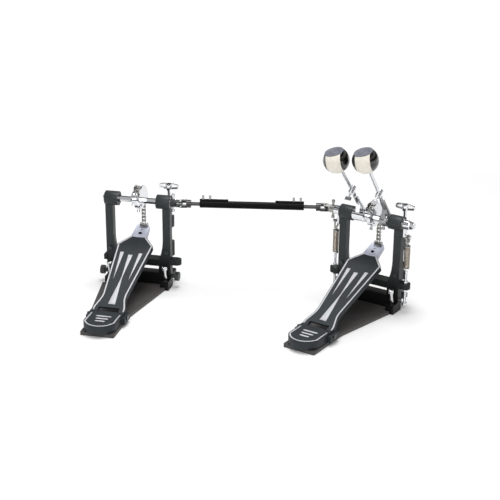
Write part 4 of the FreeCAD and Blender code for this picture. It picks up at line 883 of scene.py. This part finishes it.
def thread_grid(centre, axis, radius, length, pitch, depth):
    """Threaded sleeve: the radius rises and falls by depth along the axis and once round each turn."""
    axis = np.array(axis, float)
    side = np.cross(axis, [0.0, 1.0, 0.0])
    side /= np.linalg.norm(side)
    other = np.cross(axis, side)
    rows = np.linspace(0.0, length, round(length / pitch * THREAD_STEPS) + 1)
    angle = np.linspace(0.0, 2 * math.pi, THREAD_SIDES, endpoint=False)
    phase = rows[:, None] / pitch - angle[None] / (2 * math.pi)
    wave = 2 * np.abs(phase % 1.0 - 0.5)
    reach = radius + depth * wave
    ring = np.cos(angle)[:, None] * side + np.sin(angle)[:, None] * other
    points = np.array(centre) + rows[:, None, None] * axis + reach[..., None] * ring[None]
    return capped(points)


class PEDAL_OT_threads(bpy.types.Operator):
    """Cuts threads on the spring rods and ribs the heads of the spurs"""
    bl_idname = "pedal.threads"
    bl_label = "Threads and ribs"

    def execute(self, context):
        size = context.scene.pedal_sizes
        made = finishes()
        for side in SIDES:
            centre = np.array([SPRING_X[side], 0.0, THREAD_FOOT]) * MM
            grid = thread_grid(centre, UP, THREAD_R * MM, THREAD_LONG * MM, size.thread_pitch,
                               THREAD_DEEP * MM)
            piece = surface(side + "_rod_thread", [grid], made["Chrome plate"], "main_stand")
            origin, x, y = pedal_axes(side)
            for which, hand in (("left", -1.0), ("right", 1.0)):
                grid = spur_ribs(origin, x * hand, y)
                spur = f"{side}_{which}_spur"
                piece = surface(spur + "_ribs", [grid], made["Chrome plate"], spur)
        return {"FINISHED"}


def spur_ribs(origin, x, y):
    """Ribbed sleeve round a spur's head: the radius swells and sinks for each rib, with rounded ends."""
    axis = UP * math.cos(SPUR_LEAN) - y * math.sin(SPUR_LEAN)
    tip = origin + (x * SPUR_X + y * SPUR_TIP[0] + UP * SPUR_TIP[1]) * MM
    low, high = [(z - SPUR_TIP[1]) / math.cos(SPUR_LEAN) for z in SPUR_HEAD]
    rows = np.linspace(0.0, 1.0, SPUR_ROWS)
    below, above = SPUR_OVER
    height = low - below + (high - low + below + above) * rows
    angle = np.linspace(0.0, 2 * math.pi, RIB_STEPS * RIBS, endpoint=False)
    crown = 1.0 - SPUR_CROWN * (2 * rows - 1.0) ** 6
    wave = np.cos(RIBS * angle)
    ribs = SPUR_HEAD_R - RIB_SINK + RIB_DEEP * np.sign(wave) * np.abs(wave) ** 0.5
    other = np.cross(axis, x)
    ring = np.cos(angle)[:, None] * x + np.sin(angle)[:, None] * other
    reach = crown[:, None] * ribs[None]
    return capped(tip + height[:, None, None] * MM * axis + reach[..., None] * MM * ring[None])


class PEDAL_OT_stage(bpy.types.Operator):
    """Sets up the floor, the light, the white surroundings and the camera"""
    bl_idname = "pedal.stage"
    bl_label = "Stage"

    def execute(self, context):
        scene = context.scene
        scene.view_settings.view_transform = "Standard"
        mesh = bpy.data.meshes.new("floor")
        corners = [(x * FLOOR_EDGE, y * FLOOR_EDGE, FLOOR_Z) for x, y in ((-1, -1), (1, -1), (1, 1), (-1, 1))]
        mesh.from_pydata(corners, [], [(0, 1, 2, 3)])
        mesh.materials.append(floor_material())
        floor = bpy.data.objects.new("floor", mesh)
        scene.collection.objects.link(floor)
        scene.world = surroundings()
        for name, light in LIGHTS.items():
            soft_light(name, *light)
        scene.camera = photo_camera()
        scene.collection.objects.link(scene.camera)
        return {"FINISHED"}


def floor_material():
    """Pale floor that keeps the shadow, lifted towards white where it is seen, in metal and glass too."""
    material = bpy.data.materials.new("Pale floor")
    material.use_nodes = True
    tree = material.node_tree
    tree.nodes.clear()
    path = add(tree, "ShaderNodeLightPath")
    looked = math_node(tree, "ADD", path.outputs["Is Camera Ray"], path.outputs["Is Transmission Ray"], True)
    seen = math_node(tree, "ADD", looked, path.outputs["Is Glossy Ray"], True)
    place = add(tree, "ShaderNodeTexCoord").outputs["Object"]
    away = add(tree, "ShaderNodeVectorMath", {0: place}, operation="LENGTH").outputs["Value"]
    near, far = FLOOR_FADE
    lifted = add(tree, "ShaderNodeMapRange", {"Value": away, "From Min": near, "From Max": far,
                                              "To Min": FLOOR_LIFT, "To Max": 1.0},
                 interpolation_type="SMOOTHSTEP").outputs["Result"]
    grain = noise(tree, place, 3.0, 2.0)
    level = spread(tree, grain, *FLOOR_GREY)
    shade = add(tree, "ShaderNodeCombineColor", {"Red": level, "Green": level, "Blue": level})
    diffuse = add(tree, "ShaderNodeBsdfDiffuse", {"Color": shade.outputs["Color"]})
    lift = add(tree, "ShaderNodeEmission", {"Color": (1.0, 1.0, 1.0, 1.0),
                                            "Strength": math_node(tree, "MULTIPLY", seen, lifted)})
    both = add(tree, "ShaderNodeAddShader", {0: diffuse.outputs[0], 1: lift.outputs[0]})
    add(tree, "ShaderNodeOutputMaterial", {"Surface": both.outputs[0]})
    return material


def surroundings():
    """White where it is seen, and an even soft light.

    Metal mirrors the white round the horizon, and over it a dark ceiling with two bright bands.
    """
    world = bpy.data.worlds.new("Surroundings")
    world.use_nodes = True
    tree = world.node_tree
    tree.nodes.clear()
    path = add(tree, "ShaderNodeLightPath")
    direction = add(tree, "ShaderNodeTexCoord").outputs["Generated"]
    height = add(tree, "ShaderNodeSeparateXYZ", {"Vector": direction}).outputs["Z"]
    room = shade_ramp(tree, height, ROOM_LEVELS)
    mirrored = add(tree, "ShaderNodeMix", {"Factor": path.outputs["Is Glossy Ray"], "A": rgba([AMBIENT] * 3),
                                           "B": room}, data_type="RGBA").outputs["Result"]
    seen = math_node(tree, "ADD", path.outputs["Is Camera Ray"], path.outputs["Is Transmission Ray"], True)
    white = rgba([1.0] * 3)
    mixed = add(tree, "ShaderNodeMix", {"Factor": seen, "A": mirrored, "B": white}, data_type="RGBA")
    back = add(tree, "ShaderNodeBackground", {"Color": mixed.outputs["Result"], "Strength": 1.0})
    add(tree, "ShaderNodeOutputWorld", {"Surface": back.outputs[0]})
    return world


def shade_ramp(tree, value, stops):
    """Grey by value: stops are (position, level) from 0 to 1."""
    ramp = add(tree, "ShaderNodeValToRGB", {"Fac": value})
    elements = ramp.color_ramp.elements
    for position, _ in stops[1:-1]:
        elements.new(position)
    for element, (position, level) in zip(elements, stops):
        element.position = position
        element.color = rgba([level] * 3)
    return ramp.outputs["Color"]


def soft_light(name, place, target, size, watts):
    """Square soft light that faces its target."""
    light = bpy.data.lights.new(name, "AREA")
    light.size = size
    light.energy = watts
    lamp = bpy.data.objects.new(name, light)
    lamp.location = place
    lamp.rotation_euler = (Vector(target) - Vector(place)).to_track_quat("-Z", "Y").to_euler()
    bpy.context.scene.collection.objects.link(lamp)


def photo_camera():
    """Camera at the photograph's place, turned a little about its own view."""
    data = bpy.data.cameras.new("photo_camera")
    data.lens = CAMERA_LENS
    data.sensor_width = 36.0
    data.clip_end = 50.0
    camera = bpy.data.objects.new("photo_camera", data)
    forward = LOOK_ALONG / np.linalg.norm(LOOK_ALONG)
    level = np.cross(forward, UP)
    level /= np.linalg.norm(level)
    upright = np.cross(level, forward)
    roll = math.radians(CAMERA_ROLL)
    right = math.cos(roll) * level + math.sin(roll) * upright
    above = math.cos(roll) * upright - math.sin(roll) * level
    place = (LOOK_AT - forward * CAMERA_BACK) * MM
    columns = np.column_stack([right, above, -forward, place])
    camera.matrix_world = Matrix([*columns.tolist(), [0.0, 0.0, 0.0, 1.0]])
    return camera


STEPS = (PEDAL_OT_stage, PEDAL_OT_finishes, PEDAL_OT_board_trim, PEDAL_OT_toe_pocket_shade, PEDAL_OT_heel_trim,
         PEDAL_OT_beater_heads, PEDAL_OT_springs, PEDAL_OT_threads)


class PEDAL_PT_pieces(bpy.types.Panel):
    """Sizes, colours and steps of the pedal"""
    bl_idname = "PEDAL_PT_pieces"
    bl_label = "Double bass drum pedal"
    bl_space_type = "VIEW_3D"
    bl_region_type = "UI"
    bl_category = "Pedal"

    def draw(self, context):
        layout = self.layout
        for group in (context.scene.pedal_sizes, context.scene.pedal_colours):
            column = layout.column(align=True)
            for key in group.bl_rna.properties.keys():
                if key not in ("rna_type", "name"):
                    column.prop(group, key)
        for step in STEPS:
            layout.operator(step.bl_idname)


CLASSES = (PedalSizes, PedalColours, *STEPS, PEDAL_PT_pieces)


def register():
    for item in CLASSES:
        bpy.utils.register_class(item)
    bpy.types.Scene.pedal_sizes = PointerProperty(type=PedalSizes)
    bpy.types.Scene.pedal_colours = PointerProperty(type=PedalColours)


def unregister():
    del bpy.types.Scene.pedal_colours
    del bpy.types.Scene.pedal_sizes
    for item in reversed(CLASSES):
        bpy.utils.unregister_class(item)


def main():
    register()
    bpy.ops.pedal.stage()
    bpy.ops.pedal.finishes()
    bpy.ops.pedal.board_trim()
    bpy.ops.pedal.toe_pockets()
    bpy.ops.pedal.heel_trim()
    bpy.ops.pedal.beater_heads()
    bpy.ops.pedal.springs()
    bpy.ops.pedal.threads()
    bpy.context.view_layer.update()


if __name__ == "__main__":
    main()
